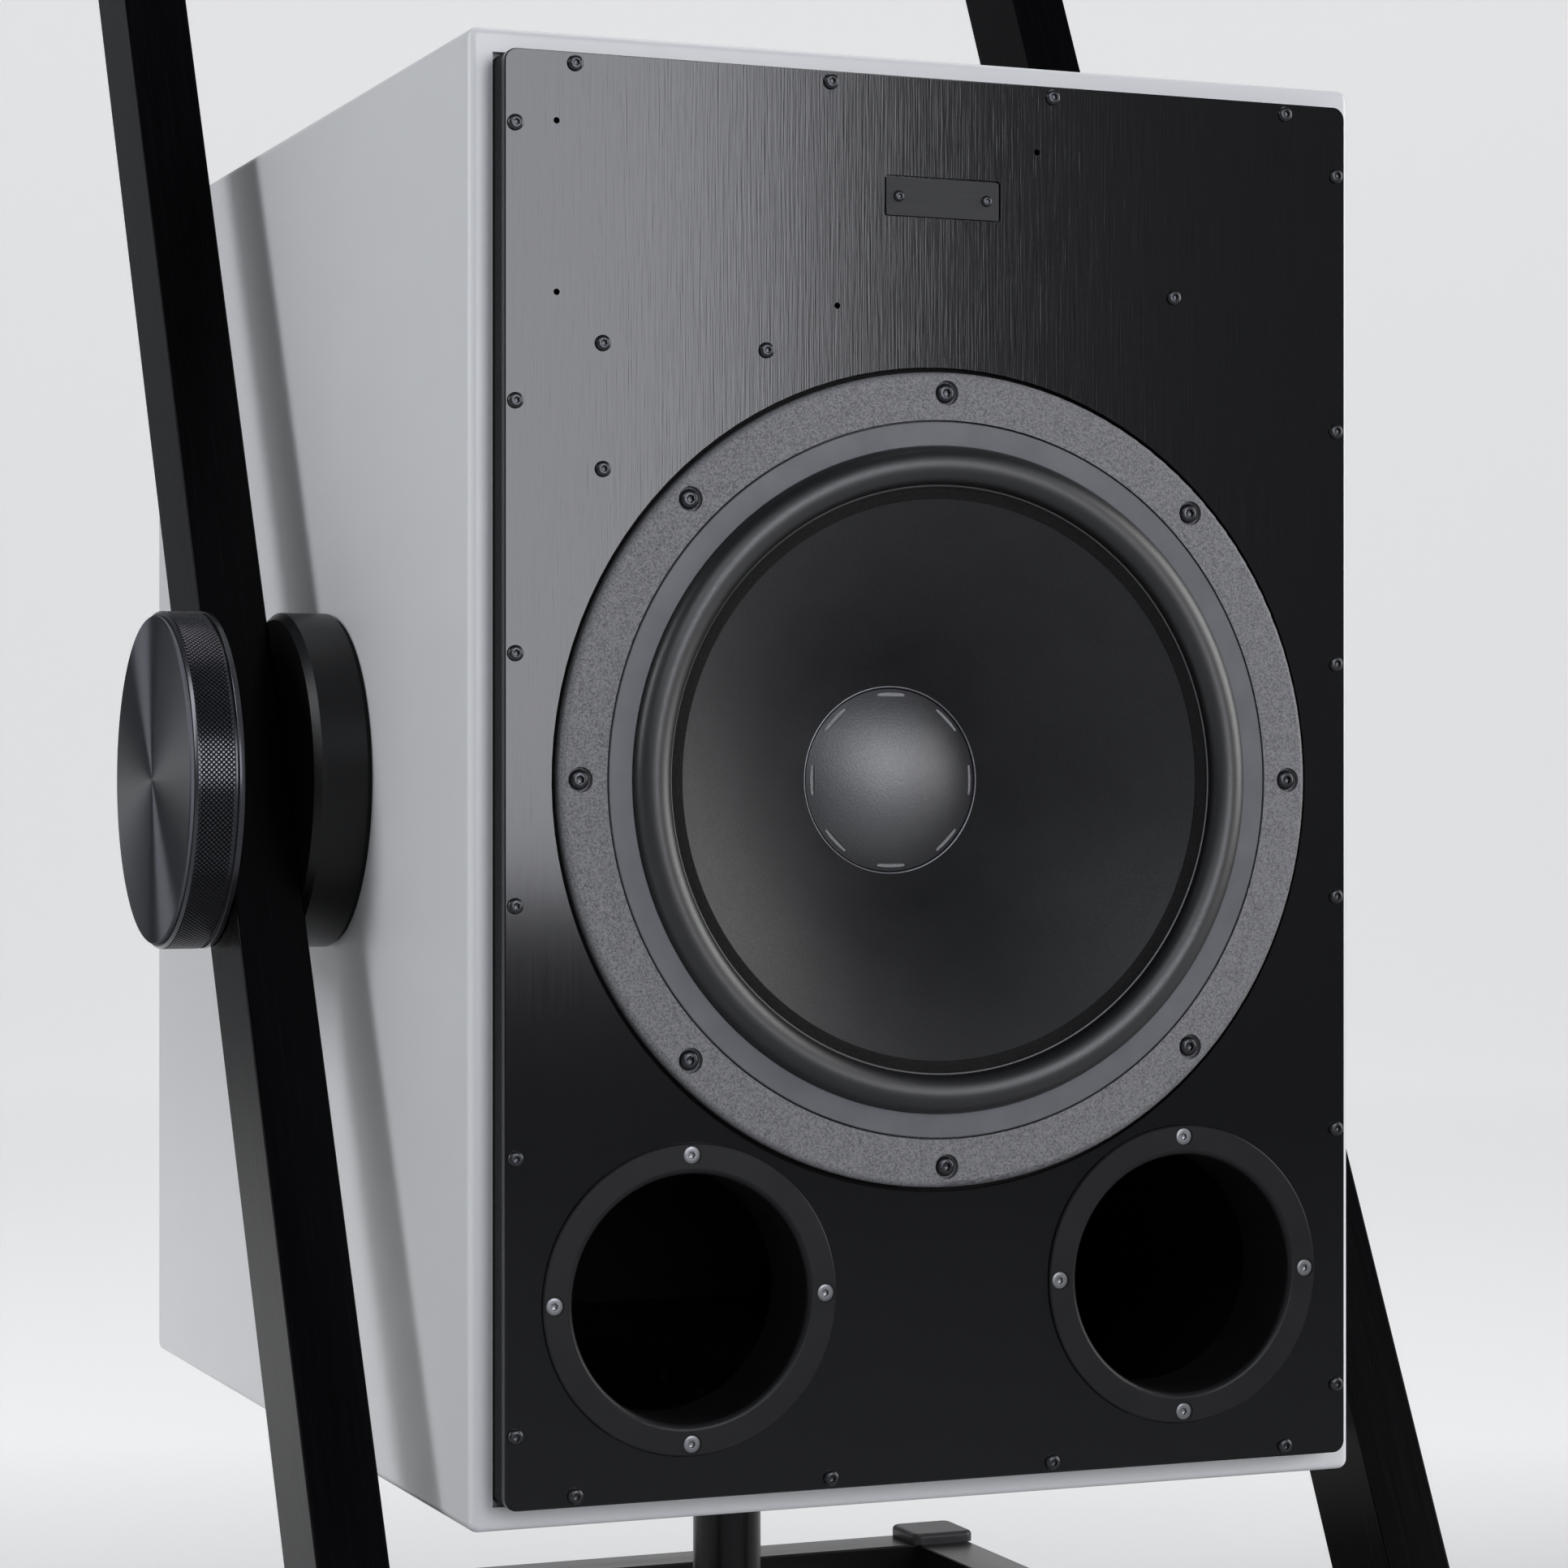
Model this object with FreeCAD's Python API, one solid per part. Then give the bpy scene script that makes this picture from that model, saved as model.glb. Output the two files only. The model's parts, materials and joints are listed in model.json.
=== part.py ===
"""Bass loudspeaker cabinet hung on side trunnions in a leaning two-leg floor stand.

Millimetres. X runs across the speaker, Y from its front to its back, Z up.
The origin is on the floor under the middle of the stand's base.
The cabinet and its driver are drawn about the middle of the face plate's front,
with y counted backwards from that face, and are put in place when they are saved.
"""
import FreeCAD, Part
import math
import os

# ---------------------------------------------------------------- driving dimensions
# cabinet
CABINET_WIDTH = 464.0
CABINET_HEIGHT = 696.0
CABINET_DEPTH = 635.5
WALL = 18.0
LONG_EDGE_RADIUS = 5.0
FRONT_EDGE_RADIUS = 3.5
REAR_EDGE_RADIUS = 1.5
REAR_PANEL_CHAMFER = 1.0
BRACE_LEVEL = 169.0
BRACE_START = 60.0
BRACE_HOLE_RADIUS = 50.0
BRACE_HOLE_COUNT = 4
BRACE_HOLE_SHARES = (0.27, 0.73)
MITRE_REACH = 20.0

# face plate and the board behind it
PLATE_BORDER = 12.0
PLATE_WIDTH = CABINET_WIDTH - 2 * PLATE_BORDER
PLATE_HEIGHT = CABINET_HEIGHT - 2 * PLATE_BORDER
PLATE_CORNER = 6.0
PLATE_THICKNESS = 4.5
PLATE_EDGE_CHAMFER = 0.5
BOARD_THICKNESS = 18.0
REBATE_DEPTH = 6.0
REBATE_GAP = 0.6
SMALL_HOLE_RADIUS = 1.5
SMALL_HOLES = [(-195.0, 303.8), (-195.0, 224.8), (-54.8, 224.8), (50.0, 303.7)]
SPARE_SCREWS = [(-172.5, 202.1), (-91.1, 202.1), (-172.5, 143.8), (124.0, 236.8)]
EDGE_SCREW_INSET_X = 5.0
EDGE_SCREW_INSET_Z = 5.2
SIDE_SCREW_LEVELS = [58.05, 174.1, 301.7]
END_SCREW_OFFSETS = [58.15, 186.0]
PLATE_SCREW_DEPTH = 16.0
BADGE_WIDTH = 59.0
BADGE_HEIGHT = 18.2
BADGE_LEVEL = 278.5
BADGE_THICKNESS = 1.6
BADGE_CORNER = 1.0
BADGE_GAP = 0.9
BADGE_SCREW_OFFSET = 23.0
BADGE_SCREW_DEPTH = 10.0

# screws: head radius, head height, shank radius, hex socket radius (corner), socket depth
M3_BUTTON = (2.7, 1.5, 1.5, 1.15, 1.0)
M4_BUTTON = (3.8, 2.2, 2.0, 1.45, 1.3)
M5_BUTTON = (4.75, 2.75, 2.5, 1.75, 1.7)
M4_FLAT = (4.0, 2.3, 2.0, 1.45, 1.3)
BUTTON_RIM_SHARE = 0.25
BUTTON_CROWN_SHARE = 0.4
BUTTON_BEND_SHARES = (0.8, 0.72)
HEXAGON_SIDES = 6
SHANK_CLEARANCE = 0.15
FLAT_HEAD_RIM = 0.3

# bass driver
FLANGE_RADIUS = 195.0
FLANGE_PROUD = 4.8
FLANGE_EDGE_RADIUS = 3.0
FLANGE_BACK_RADIUS = 178.0
DRIVER_BOLT_CIRCLE = 370.0
DRIVER_BOLT_COUNT = 8
DRIVER_BOLT_DEPTH = 19.0
COUNTERBORE_RADIUS = 6.0
COUNTERBORE_DEPTH = 3.0
PLATE_TO_FLANGE_GAP = 2.5
DRIVER_GASKET = 1.5
DRIVER_CUTOUT_GAP = 2.0
RING_SEAT_RADIUS = 172.0
RING_GAP = 0.8
RING_INNER_RADIUS = 159.5
RING_THICKNESS = 3.8
RING_EDGE = 0.4
SURROUND_INNER_RADIUS = 141.0
SURROUND_CREST = 8.5
SURROUND_SKIN = 1.2
SURROUND_LIP = 1.0
ROLL_FOOT_SUNK = 0.3
CONE_EDGE_LIP = 6.0
CONE_SKIN = 1.4
CONE_DEPTH = 74.0
CONE_FLARE = 5.0
CONE_NECK_OVERLAP = 3.0
CAP_RADIUS = 45.0
CAP_HEIGHT = 14.0
CAP_SKIN = 1.6
CAP_EDGE = 0.8
CAP_NOTCH_RADIUS = 42.2
CAP_NOTCH_LENGTH = 14.7
CAP_NOTCH_WIDTH = 1.8
CAP_NOTCH_DEPTH = 0.6
CAP_NOTCH_COUNT = 8
COIL_RADIUS = 38.2
FORMER_SKIN = 0.4
COIL_SKIN = 0.8
COIL_HEIGHT = 26.0
COIL_GAP = 0.8
BASKET_DEPTH = 118.0
BASKET_SKIN = 6.0
BASKET_WALL_RADIUS = 174.0
BASKET_RIM_RADIUS = 156.0
BASKET_RIM_THICKNESS = 6.0
BASKET_WINDOW_FRONT = 16.0
BASKET_BASE_RADIUS = 105.0
BASKET_BASE_THICKNESS = 6.0
BASKET_BORE_RADIUS = 62.0
BASKET_SPOKES = 8
BASKET_SPOKE_WIDTH = 26.0
SHELF_LEVEL = 92.0
SHELF_THICKNESS = 4.0
SHELF_INNER_RADIUS = 80.0
SPIDER_SKIN = 1.0
SPIDER_WAVE = 1.5
SPIDER_WAVES = 5
SPIDER_LIP = 4.0
SPIDER_RIM = 8.0
POLE_PLATE_THICKNESS = 10.0
MAGNET_RADIUS = 100.0
MAGNET_BORE_RADIUS = 48.0
MAGNET_THICKNESS = 25.0
BACK_PLATE_RADIUS = 96.0
BACK_PLATE_THICKNESS = 12.0
VENT_RADIUS = 12.0

# reflex ports
PORT_OFFSET = 129.0
PORT_LEVEL = -242.7
PORT_FLANGE_RADIUS = 73.0
PORT_FLANGE_PROUD = 1.75
PORT_FLANGE_THICKNESS = 4.0
PORT_FLANGE_GAP = 0.4
PORT_THROAT_RADIUS = 58.5
PORT_WALL = 3.8
PORT_MOUTH_RADIUS = 2.8
PORT_LENGTH = 45.0
PORT_EDGE = 0.6
PORT_SCREW_CIRCLE = 135.0
PORT_SCREW_COUNT = 4
PORT_SCREW_DEPTH = 16.0
PORT_SCREW_RECESS_RADIUS = 4.8
PORT_SCREW_RECESS = 0.4
PORT_CUTOUT_GAP = 0.5

# rear connector dish
DISH_LEVEL = -90.0
DISH_WIDTH = 110.0
DISH_HEIGHT = 70.0
DISH_RIM = 10.0
DISH_RIM_THICKNESS = 3.0
DISH_DEPTH = 24.0
DISH_SKIN = 3.0
DISH_CORNER = 6.0
DISH_CLEARANCE = 0.5
SOCKET_RADIUS = 13.0
SOCKET_BORE_RADIUS = 10.0
SOCKET_HEIGHT = 14.0
SOCKET_BORE_DEPTH = 11.0
SOCKET_OFFSET = 24.0
DISH_SCREW_DEPTH = 14.0

# trunnions
BOSS_RADIUS = 86.4
BOSS_THICKNESS = 26.8
BOSS_CHAMFER = 3.6
BOSS_GASKET_RADIUS = 84.8
BOSS_GASKET = 2.5
BACKING_RADIUS = 75.0
BACKING_THICKNESS = 6.0
BOSS_BOLT_CIRCLE = 110.0
BOSS_BOLT_COUNT = 6
BOSS_BOLT_RADIUS = 4.0
BOSS_BOLT_HEAD_RADIUS = 6.5
BOSS_BOLT_HEAD = 8.0
BOSS_BOLT_SOCKET = 3.4
BOSS_BOLT_BITE = 20.0
STUD_RADIUS = 10.0
STUD_BITE = 22.0
STUD_CHAMFER = 1.0
STUD_CLEARANCE = 0.05
FACE_CLEARANCE = 0.3
BUSH_RADIUS = 14.0

# clamp knobs
KNOB_RADIUS = 86.4
KNOB_RIM = 3.0
KNOB_GROOVE = 1.5
KNOB_GROOVE_DEPTH = 2.0
KNURL_WIDTH = 19.0
KNOB_SHOULDER = 1.4
KNOB_SHOULDER_RADIUS = 84.9
KNOB_FACE_RADIUS = 83.8
KNOB_FACE_THICKNESS = 2.4
KNOB_FACE_CHAMFER = 0.6
KNOB_RIM_CHAMFER = 1.0
KNOB_CORE_RADIUS = 64.0
STUD_IN_KNOB = 17.0

# stand
PIVOT_HEIGHT = 567.0
PIVOT_BEHIND_FACE = 263.0
PIVOT_BEHIND_BASE_FRONT = 310.0
BASE_LENGTH = 706.0
LEG_WIDTH = 35.0
LEG_DEPTH = 58.0
LEG_LEAN = 27.0
LEG_TOP = 1087.0
LEG_EDGE_RADIUS = 1.2
TUBE_WALL = 3.0
END_CAP = 4.0
BEAM_HEIGHT = 58.0
FOOT_HEIGHT = 12.0
FOOT_RADIUS = 18.0
FOOT_CHAMFER = 2.0
FOOT_STEM_RADIUS = 5.0
FOOT_STEM = 16.0
FRONT_FOOT_INSET = 40.0
CORNER_CAP_OVERHANG = 3.5
CORNER_CAP_HEIGHT = 7.0
CORNER_CAP_RADIUS = 3.0
POST_RADIUS = 18.5
POST_BEHIND_PIVOT = 25.0
POST_FLANGE_RADIUS = 32.0
POST_FLANGE = 6.0
BUFFER_CLEARANCE = 15.0
BUFFER_HEIGHT = 17.0
BUFFER_RADIUS = 20.0
BUFFER_ROUND = 3.0
BUFFER_STEM_RADIUS = 6.0
BUFFER_STEM = 12.0
STRIKE_WIDTH = 84.0
STRIKE_THICKNESS = 3.0
STRIKE_CORNER = 6.0
STRIKE_BOLT_INSET = 14.0
STRIKE_BOLT_RADIUS = 3.0
STRIKE_NUT_RADIUS = 5.5
STRIKE_NUT = 5.0

# tolerances for finding edges
SAME_DIRECTION = 1e-6
SAME_PLACE = 1e-4

# ---------------------------------------------------------------- places worked out from them
HALF_WIDTH = CABINET_WIDTH / 2
HALF_HEIGHT = CABINET_HEIGHT / 2
CABINET_FRONT = PLATE_THICKNESS + BOARD_THICKNESS - REBATE_DEPTH
CABINET_REAR = CABINET_FRONT + CABINET_DEPTH
INNER_X = HALF_WIDTH - WALL
INNER_Z = HALF_HEIGHT - WALL
BOARD_BACK = PLATE_THICKNESS + BOARD_THICKNESS
REAR_PANEL_FRONT = CABINET_REAR - WALL

BASE_FRONT = -BASE_LENGTH / 2
PIVOT_Y = BASE_FRONT + PIVOT_BEHIND_BASE_FRONT
FACE_Y = PIVOT_Y - PIVOT_BEHIND_FACE
BEAM_TOP = FOOT_HEIGHT + BEAM_HEIGHT
BOSS_INNER = HALF_WIDTH + BOSS_GASKET
BOSS_OUTER = BOSS_INNER + BOSS_THICKNESS
LEG_INNER = BOSS_OUTER + FACE_CLEARANCE
LEG_OUTER = LEG_INNER + LEG_WIDTH
LEG_MIDDLE = (LEG_INNER + LEG_OUTER) / 2
KNOB_INNER = LEG_OUTER + FACE_CLEARANCE
REAR_BLOCK_OUTER = BASE_LENGTH / 2 - CORNER_CAP_OVERHANG
REAR_BLOCK_INNER = REAR_BLOCK_OUTER - LEG_WIDTH
REAR_BLOCK_MIDDLE = (REAR_BLOCK_OUTER + REAR_BLOCK_INNER) / 2
POST_Y = PIVOT_Y + POST_BEHIND_PIVOT
BUFFER_TOP_BELOW_PIVOT = HALF_HEIGHT + STRIKE_THICKNESS + BUFFER_CLEARANCE

FLANGE_BACK = PLATE_THICKNESS - DRIVER_GASKET
RING_SEAT = RING_THICKNESS + SURROUND_LIP - FLANGE_PROUD
RING_OUTER_RADIUS = RING_SEAT_RADIUS - RING_GAP
ROLL_MIDDLE = (RING_INNER_RADIUS + SURROUND_INNER_RADIUS) / 2
ROLL_FOOT = ROLL_FOOT_SUNK - FLANGE_PROUD
CONE_FRONT = ROLL_FOOT + SURROUND_SKIN
CONE_NECK = CONE_FRONT + CONE_DEPTH
FORMER_OUTER = COIL_RADIUS + FORMER_SKIN
POLE_PLATE_FRONT = BASKET_DEPTH
POLE_PLATE_BACK = POLE_PLATE_FRONT + POLE_PLATE_THICKNESS
MAGNET_BACK = POLE_PLATE_BACK + MAGNET_THICKNESS
COIL_MIDDLE = (POLE_PLATE_FRONT + POLE_PLATE_BACK) / 2
COIL_END = COIL_MIDDLE + COIL_HEIGHT / 2

TO_CABINET = FreeCAD.Vector(0, FACE_Y, PIVOT_HEIGHT)
SIDES = [("left", -1), ("right", 1)]


# ---------------------------------------------------------------- drawing helpers
def vec(x, y, z):
    return FreeCAD.Vector(x, y, z)


def block(x0, x1, y0, y1, z0, z1):
    return Part.makeBox(x1 - x0, y1 - y0, z1 - z0, vec(x0, y0, z0))


def rod_y(radius, y0, y1, x=0.0, z=0.0):
    """A cylinder that runs from front to back."""
    return Part.makeCylinder(radius, y1 - y0, vec(x, y0, z), vec(0, 1, 0))


def rod_x(radius, x0, x1, y, z):
    """A cylinder that runs across."""
    return Part.makeCylinder(radius, x1 - x0, vec(x0, y, z), vec(1, 0, 0))


def rod_z(radius, z0, z1, x, y):
    """An upright cylinder."""
    return Part.makeCylinder(radius, z1 - z0, vec(x, y, z0), vec(0, 0, 1))


def turned(points):
    """Turns a closed outline about the Y axis. A point is (radius, y), or (radius, y, radius
    through, y through) where the stretch that ends there is an arc through a middle point."""
    edges = []
    last = points[0]
    for point in points[1:] + [points[0][:2]]:
        start = vec(last[0], last[1], 0)
        end = vec(point[0], point[1], 0)
        if len(point) == 4:
            edges.append(Part.Arc(start, vec(point[2], point[3], 0), end).toShape())
        else:
            edges.append(Part.LineSegment(start, end).toShape())
        last = point
    face = Part.Face(Part.Wire(edges))
    return face.revolve(vec(0, 0, 0), vec(0, 1, 0), 360)


def rounded_plate(width, height, corner, y0, y1, x=0.0, z=0.0):
    """An upright plate with rounded corners, its thickness from y0 to y1."""
    plate = block(x - width / 2, x + width / 2, y0, y1, z - height / 2, z + height / 2)
    return plate.makeFillet(corner, edges_along(plate, vec(0, 1, 0)))


def edges_along(shape, direction):
    """The straight edges that run along a direction."""
    found = []
    for edge in shape.Edges:
        if edge.Curve.TypeId == "Part::GeomLine":
            if abs(abs(edge.tangentAt(edge.FirstParameter).dot(direction)) - 1) < SAME_DIRECTION:
                found.append(edge)
    return found


def edges_at(shape, axis, place):
    """The edges that lie flat in the plane where the coordinate on axis has that value."""
    low = axis + "Min"
    high = axis + "Max"
    found = []
    for edge in shape.Edges:
        box = edge.BoundBox
        if abs(getattr(box, low) - place) < SAME_PLACE and abs(getattr(box, high) - place) < SAME_PLACE:
            found.append(edge)
    return found


def ring_of(shape, count, first=0.0, centre=(0.0, 0.0)):
    """Copies of a shape spaced evenly about an axis along Y through centre (x, z)."""
    copies = []
    for index in range(count):
        copy = shape.copy()
        copy.rotate(vec(centre[0], 0, centre[1]), vec(0, 1, 0), first + 360.0 * index / count)
        copies.append(copy)
    return copies


def hexagon_y(corner_radius, y0, y1):
    """A hexagonal bar that runs from front to back."""
    corners = []
    for index in range(HEXAGON_SIDES + 1):
        angle = math.radians(360 / HEXAGON_SIDES * index)
        corners.append(vec(corner_radius * math.cos(angle), y0, corner_radius * math.sin(angle)))
    return Part.Face(Part.makePolygon(corners)).extrude(vec(0, y1 - y0, 0))


def button_screw(size, depth):
    """A button-head screw. It is seated at y = 0, with its domed head in front of that."""
    head_radius, head_height, shank_radius, socket_radius, socket_depth = size
    rim = BUTTON_RIM_SHARE * head_height
    crown = BUTTON_CROWN_SHARE * head_radius
    middle = (BUTTON_BEND_SHARES[0] * head_radius, -BUTTON_BEND_SHARES[1] * head_height)
    screw = turned([
        (0, -head_height),
        (0, depth),
        (shank_radius, depth),
        (shank_radius, 0),
        (head_radius, 0),
        (head_radius, -rim),
        (crown, -head_height) + middle,
    ])
    return screw.cut(hexagon_y(socket_radius, -head_height - 1, -head_height + socket_depth))


def flat_screw_body(size, depth, clearance=0.0):
    """A countersunk screw without its socket, or, with a clearance, the hole that it sits in."""
    head_radius, head_height, shank_radius = size[:3]
    shank = shank_radius + clearance
    return turned([
        (0, 0),
        (0, depth),
        (shank, depth),
        (shank, head_height - clearance),
        (head_radius, FLAT_HEAD_RIM),
        (head_radius, 0),
    ])


def flat_screw(size, depth):
    """A countersunk screw with the top of its head at y = 0."""
    socket_radius, socket_depth = size[3:]
    return flat_screw_body(size, depth).cut(hexagon_y(socket_radius, -1, socket_depth))


def moved(shape, x, y, z):
    copy = shape.copy()
    copy.translate(vec(x, y, z))
    return copy


def mirrored(shape):
    """The same piece on the other side."""
    return shape.mirror(vec(0, 0, 0), vec(1, 0, 0))


def group(shapes):
    return Part.makeCompound(shapes)


def save(name, shape, place=None):
    """Writes one node. Place moves it there first."""
    piece = shape.copy()
    if place is not None:
        piece.translate(place)
    if not piece.isValid():
        raise ValueError(name + " isn't a valid shape")
    piece.exportStep("parts/" + name + ".step")
    print(f"{name}: {len(piece.Solids)} solid(s), {piece.Volume / 1000:.1f} cm3")


# ---------------------------------------------------------------- cabinet
def cabinet_shell():
    """The four walls as one tube, with the rebate that the front board sits in."""
    shell = block(-HALF_WIDTH, HALF_WIDTH, CABINET_FRONT, CABINET_REAR, -HALF_HEIGHT, HALF_HEIGHT)
    shell = shell.makeFillet(LONG_EDGE_RADIUS, edges_along(shell, vec(0, 1, 0)))
    shell = shell.makeFillet(FRONT_EDGE_RADIUS, edges_at(shell, "Y", CABINET_FRONT))
    shell = shell.makeFillet(REAR_EDGE_RADIUS, edges_at(shell, "Y", CABINET_REAR))
    inside = block(-INNER_X, INNER_X, CABINET_FRONT - 1, CABINET_REAR + 1, -INNER_Z, INNER_Z)
    half_rebate_x = PLATE_WIDTH / 2 + REBATE_GAP
    half_rebate_z = PLATE_HEIGHT / 2 + REBATE_GAP
    rebate = block(-half_rebate_x, half_rebate_x, CABINET_FRONT - 1, BOARD_BACK,
                   -half_rebate_z, half_rebate_z)
    return shell.cut(inside).cut(rebate)


def mitre_wedge(turns):
    """The part of the shell that belongs to one wall, bounded by the mitres at its two ends.
    Turns 0 is the right wall, 1 the top, 2 the left and 3 the bottom."""
    reach = MITRE_REACH
    across = HALF_WIDTH if turns % 2 == 0 else HALF_HEIGHT
    along = HALF_HEIGHT if turns % 2 == 0 else HALF_WIDTH
    depth = WALL + reach
    corners = [
        vec(across + reach, 0, along + reach),
        vec(across - depth, 0, along - depth),
        vec(across - depth, 0, depth - along),
        vec(across + reach, 0, -along - reach),
        vec(across + reach, 0, along + reach),
    ]
    wedge = Part.Face(Part.makePolygon(corners)).extrude(vec(0, CABINET_REAR + reach, 0))
    wedge.rotate(vec(0, 0, 0), vec(0, 1, 0), -90.0 * turns)
    return wedge


def boss_bolt_places():
    """The (y, z) places of the bolts that hold a boss, about the pivot."""
    places = []
    for index in range(BOSS_BOLT_COUNT):
        angle = math.radians(360.0 * index / BOSS_BOLT_COUNT)
        places.append((PIVOT_BEHIND_FACE + BOSS_BOLT_CIRCLE / 2 * math.cos(angle),
                       BOSS_BOLT_CIRCLE / 2 * math.sin(angle)))
    return places


def boss_bolt_holes(x0, x1, radius):
    return [rod_x(radius, x0, x1, y, z) for y, z in boss_bolt_places()]


def strike_bolt_places():
    """The (x, y) places of the bolts that hold the strike plate."""
    reach = STRIKE_WIDTH / 2 - STRIKE_BOLT_INSET
    middle = PIVOT_BEHIND_FACE + POST_BEHIND_PIVOT
    return [(x, middle + y) for x in (-reach, reach) for y in (-reach, reach)]


def make_walls():
    shell = cabinet_shell()
    for turns, name in enumerate(["right_side_panel", "top_panel", "left_side_panel", "bottom_panel"]):
        wall = shell.common(mitre_wedge(turns))
        if "side" in name:
            sign = 1 if name.startswith("right") else -1
            low, high = sorted([sign * (INNER_X - 1), sign * (HALF_WIDTH + 1)])
            wall = wall.cut(boss_bolt_holes(low, high, BOSS_BOLT_RADIUS + SHANK_CLEARANCE))
        if name == "bottom_panel":
            for x, y in strike_bolt_places():
                wall = wall.cut(rod_z(STRIKE_BOLT_RADIUS + SHANK_CLEARANCE,
                                      -HALF_HEIGHT - 1, -INNER_Z + 1, x, y))
        save(name, wall, TO_CABINET)


def make_rear_panel():
    panel = block(-INNER_X, INNER_X, REAR_PANEL_FRONT, CABINET_REAR, -INNER_Z, INNER_Z)
    panel = panel.makeChamfer(REAR_PANEL_CHAMFER, edges_at(panel, "Y", CABINET_REAR))
    hole = block(-DISH_WIDTH / 2 - DISH_CLEARANCE, DISH_WIDTH / 2 + DISH_CLEARANCE,
                 REAR_PANEL_FRONT - 1, CABINET_REAR + 1,
                 DISH_LEVEL - DISH_HEIGHT / 2 - DISH_CLEARANCE,
                 DISH_LEVEL + DISH_HEIGHT / 2 + DISH_CLEARANCE)
    panel = panel.cut(hole)
    for x, z in dish_screw_places():
        depth = DISH_SCREW_DEPTH - DISH_RIM_THICKNESS
        panel = panel.cut(rod_y(M3_BUTTON[2], CABINET_REAR - depth, CABINET_REAR + 1, x, z))
    save("rear_panel", panel, TO_CABINET)


def make_braces():
    """Two shelves that tie the side panels together, one above the driver and one below it."""
    length = REAR_PANEL_FRONT - BRACE_START
    for name, level in [("upper_brace", BRACE_LEVEL), ("lower_brace", -BRACE_LEVEL)]:
        brace = block(-INNER_X, INNER_X, BRACE_START, REAR_PANEL_FRONT, level - WALL / 2, level + WALL / 2)
        for index in range(BRACE_HOLE_COUNT):
            x = INNER_X / 2 if index % 2 else -INNER_X / 2
            share = BRACE_HOLE_SHARES[0] if index < BRACE_HOLE_COUNT / 2 else BRACE_HOLE_SHARES[1]
            y = BRACE_START + length * share
            brace = brace.cut(rod_z(BRACE_HOLE_RADIUS, level - WALL, level + WALL, x, y))
        save(name, brace, TO_CABINET)


def make_strike_plate():
    middle = PIVOT_BEHIND_FACE + POST_BEHIND_PIVOT
    half = STRIKE_WIDTH / 2
    bottom = -HALF_HEIGHT - STRIKE_THICKNESS
    plate = block(-half, half, middle - half, middle + half, bottom, -HALF_HEIGHT)
    plate = plate.makeFillet(STRIKE_CORNER, edges_along(plate, vec(0, 0, 1)))
    bolts = []
    for x, y in strike_bolt_places():
        shank = rod_z(STRIKE_BOLT_RADIUS, bottom, -INNER_Z + STRIKE_NUT, x, y)
        nut = hexagon_y(STRIKE_NUT_RADIUS, 0, STRIKE_NUT)
        nut.rotate(vec(0, 0, 0), vec(1, 0, 0), 90)
        bolts.append(shank.fuse(moved(nut, x, y, -INNER_Z)))
        plate = plate.cut(rod_z(STRIKE_BOLT_RADIUS, bottom - 1, -HALF_HEIGHT + 1, x, y))
    save("strike_plate", plate, TO_CABINET)
    save("strike_plate_bolts", group(bolts), TO_CABINET)


# ---------------------------------------------------------------- face plate
def plate_screw_places():
    """The (x, z) places of the face plate's screws."""
    places = []
    column = PLATE_WIDTH / 2 - EDGE_SCREW_INSET_X
    row = PLATE_HEIGHT / 2 - EDGE_SCREW_INSET_Z
    for sign_x in (-1, 1):
        for sign_z in (-1, 1):
            places += [(sign_x * column, sign_z * level) for level in SIDE_SCREW_LEVELS]
            places += [(sign_x * offset, sign_z * row) for offset in END_SCREW_OFFSETS]
    return places + SPARE_SCREWS


def driver_bolt_holes(radius, y0, y1):
    return ring_of(rod_y(radius, y0, y1, 0, DRIVER_BOLT_CIRCLE / 2), DRIVER_BOLT_COUNT)


def port_screw_holes(radius, y0, y1, side):
    centre = (side * PORT_OFFSET, PORT_LEVEL)
    hole = rod_y(radius, y0, y1, centre[0], centre[1] + PORT_SCREW_CIRCLE / 2)
    return ring_of(hole, PORT_SCREW_COUNT, 0.0, centre)


def make_front_board():
    """The board that carries the driver. It stands proud of the cabinet's rim."""
    front = PLATE_THICKNESS
    board = rounded_plate(PLATE_WIDTH, PLATE_HEIGHT, PLATE_CORNER, front, BOARD_BACK)
    board = board.cut(rod_y(FLANGE_BACK_RADIUS, front - 1, BOARD_BACK + 1))
    holes = driver_bolt_holes(M5_BUTTON[2], front - 1, COUNTERBORE_DEPTH - FLANGE_PROUD + DRIVER_BOLT_DEPTH)
    for x, z in plate_screw_places():
        holes.append(rod_y(M4_BUTTON[2], front - 1, PLATE_SCREW_DEPTH, x, z))
    for sign in (-1, 1):
        holes.append(rod_y(PORT_THROAT_RADIUS + PORT_WALL + PORT_CUTOUT_GAP, front - 1,
                           BOARD_BACK + 1, sign * PORT_OFFSET, PORT_LEVEL))
        depth = PORT_SCREW_RECESS - PORT_FLANGE_PROUD + PORT_SCREW_DEPTH
        holes += port_screw_holes(M4_FLAT[2], front - 1, depth, sign)
        holes.append(rod_y(M3_BUTTON[2], front - 1, BADGE_SCREW_DEPTH, sign * BADGE_SCREW_OFFSET, BADGE_LEVEL))
    save("front_board", board.cut(holes), TO_CABINET)


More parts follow.
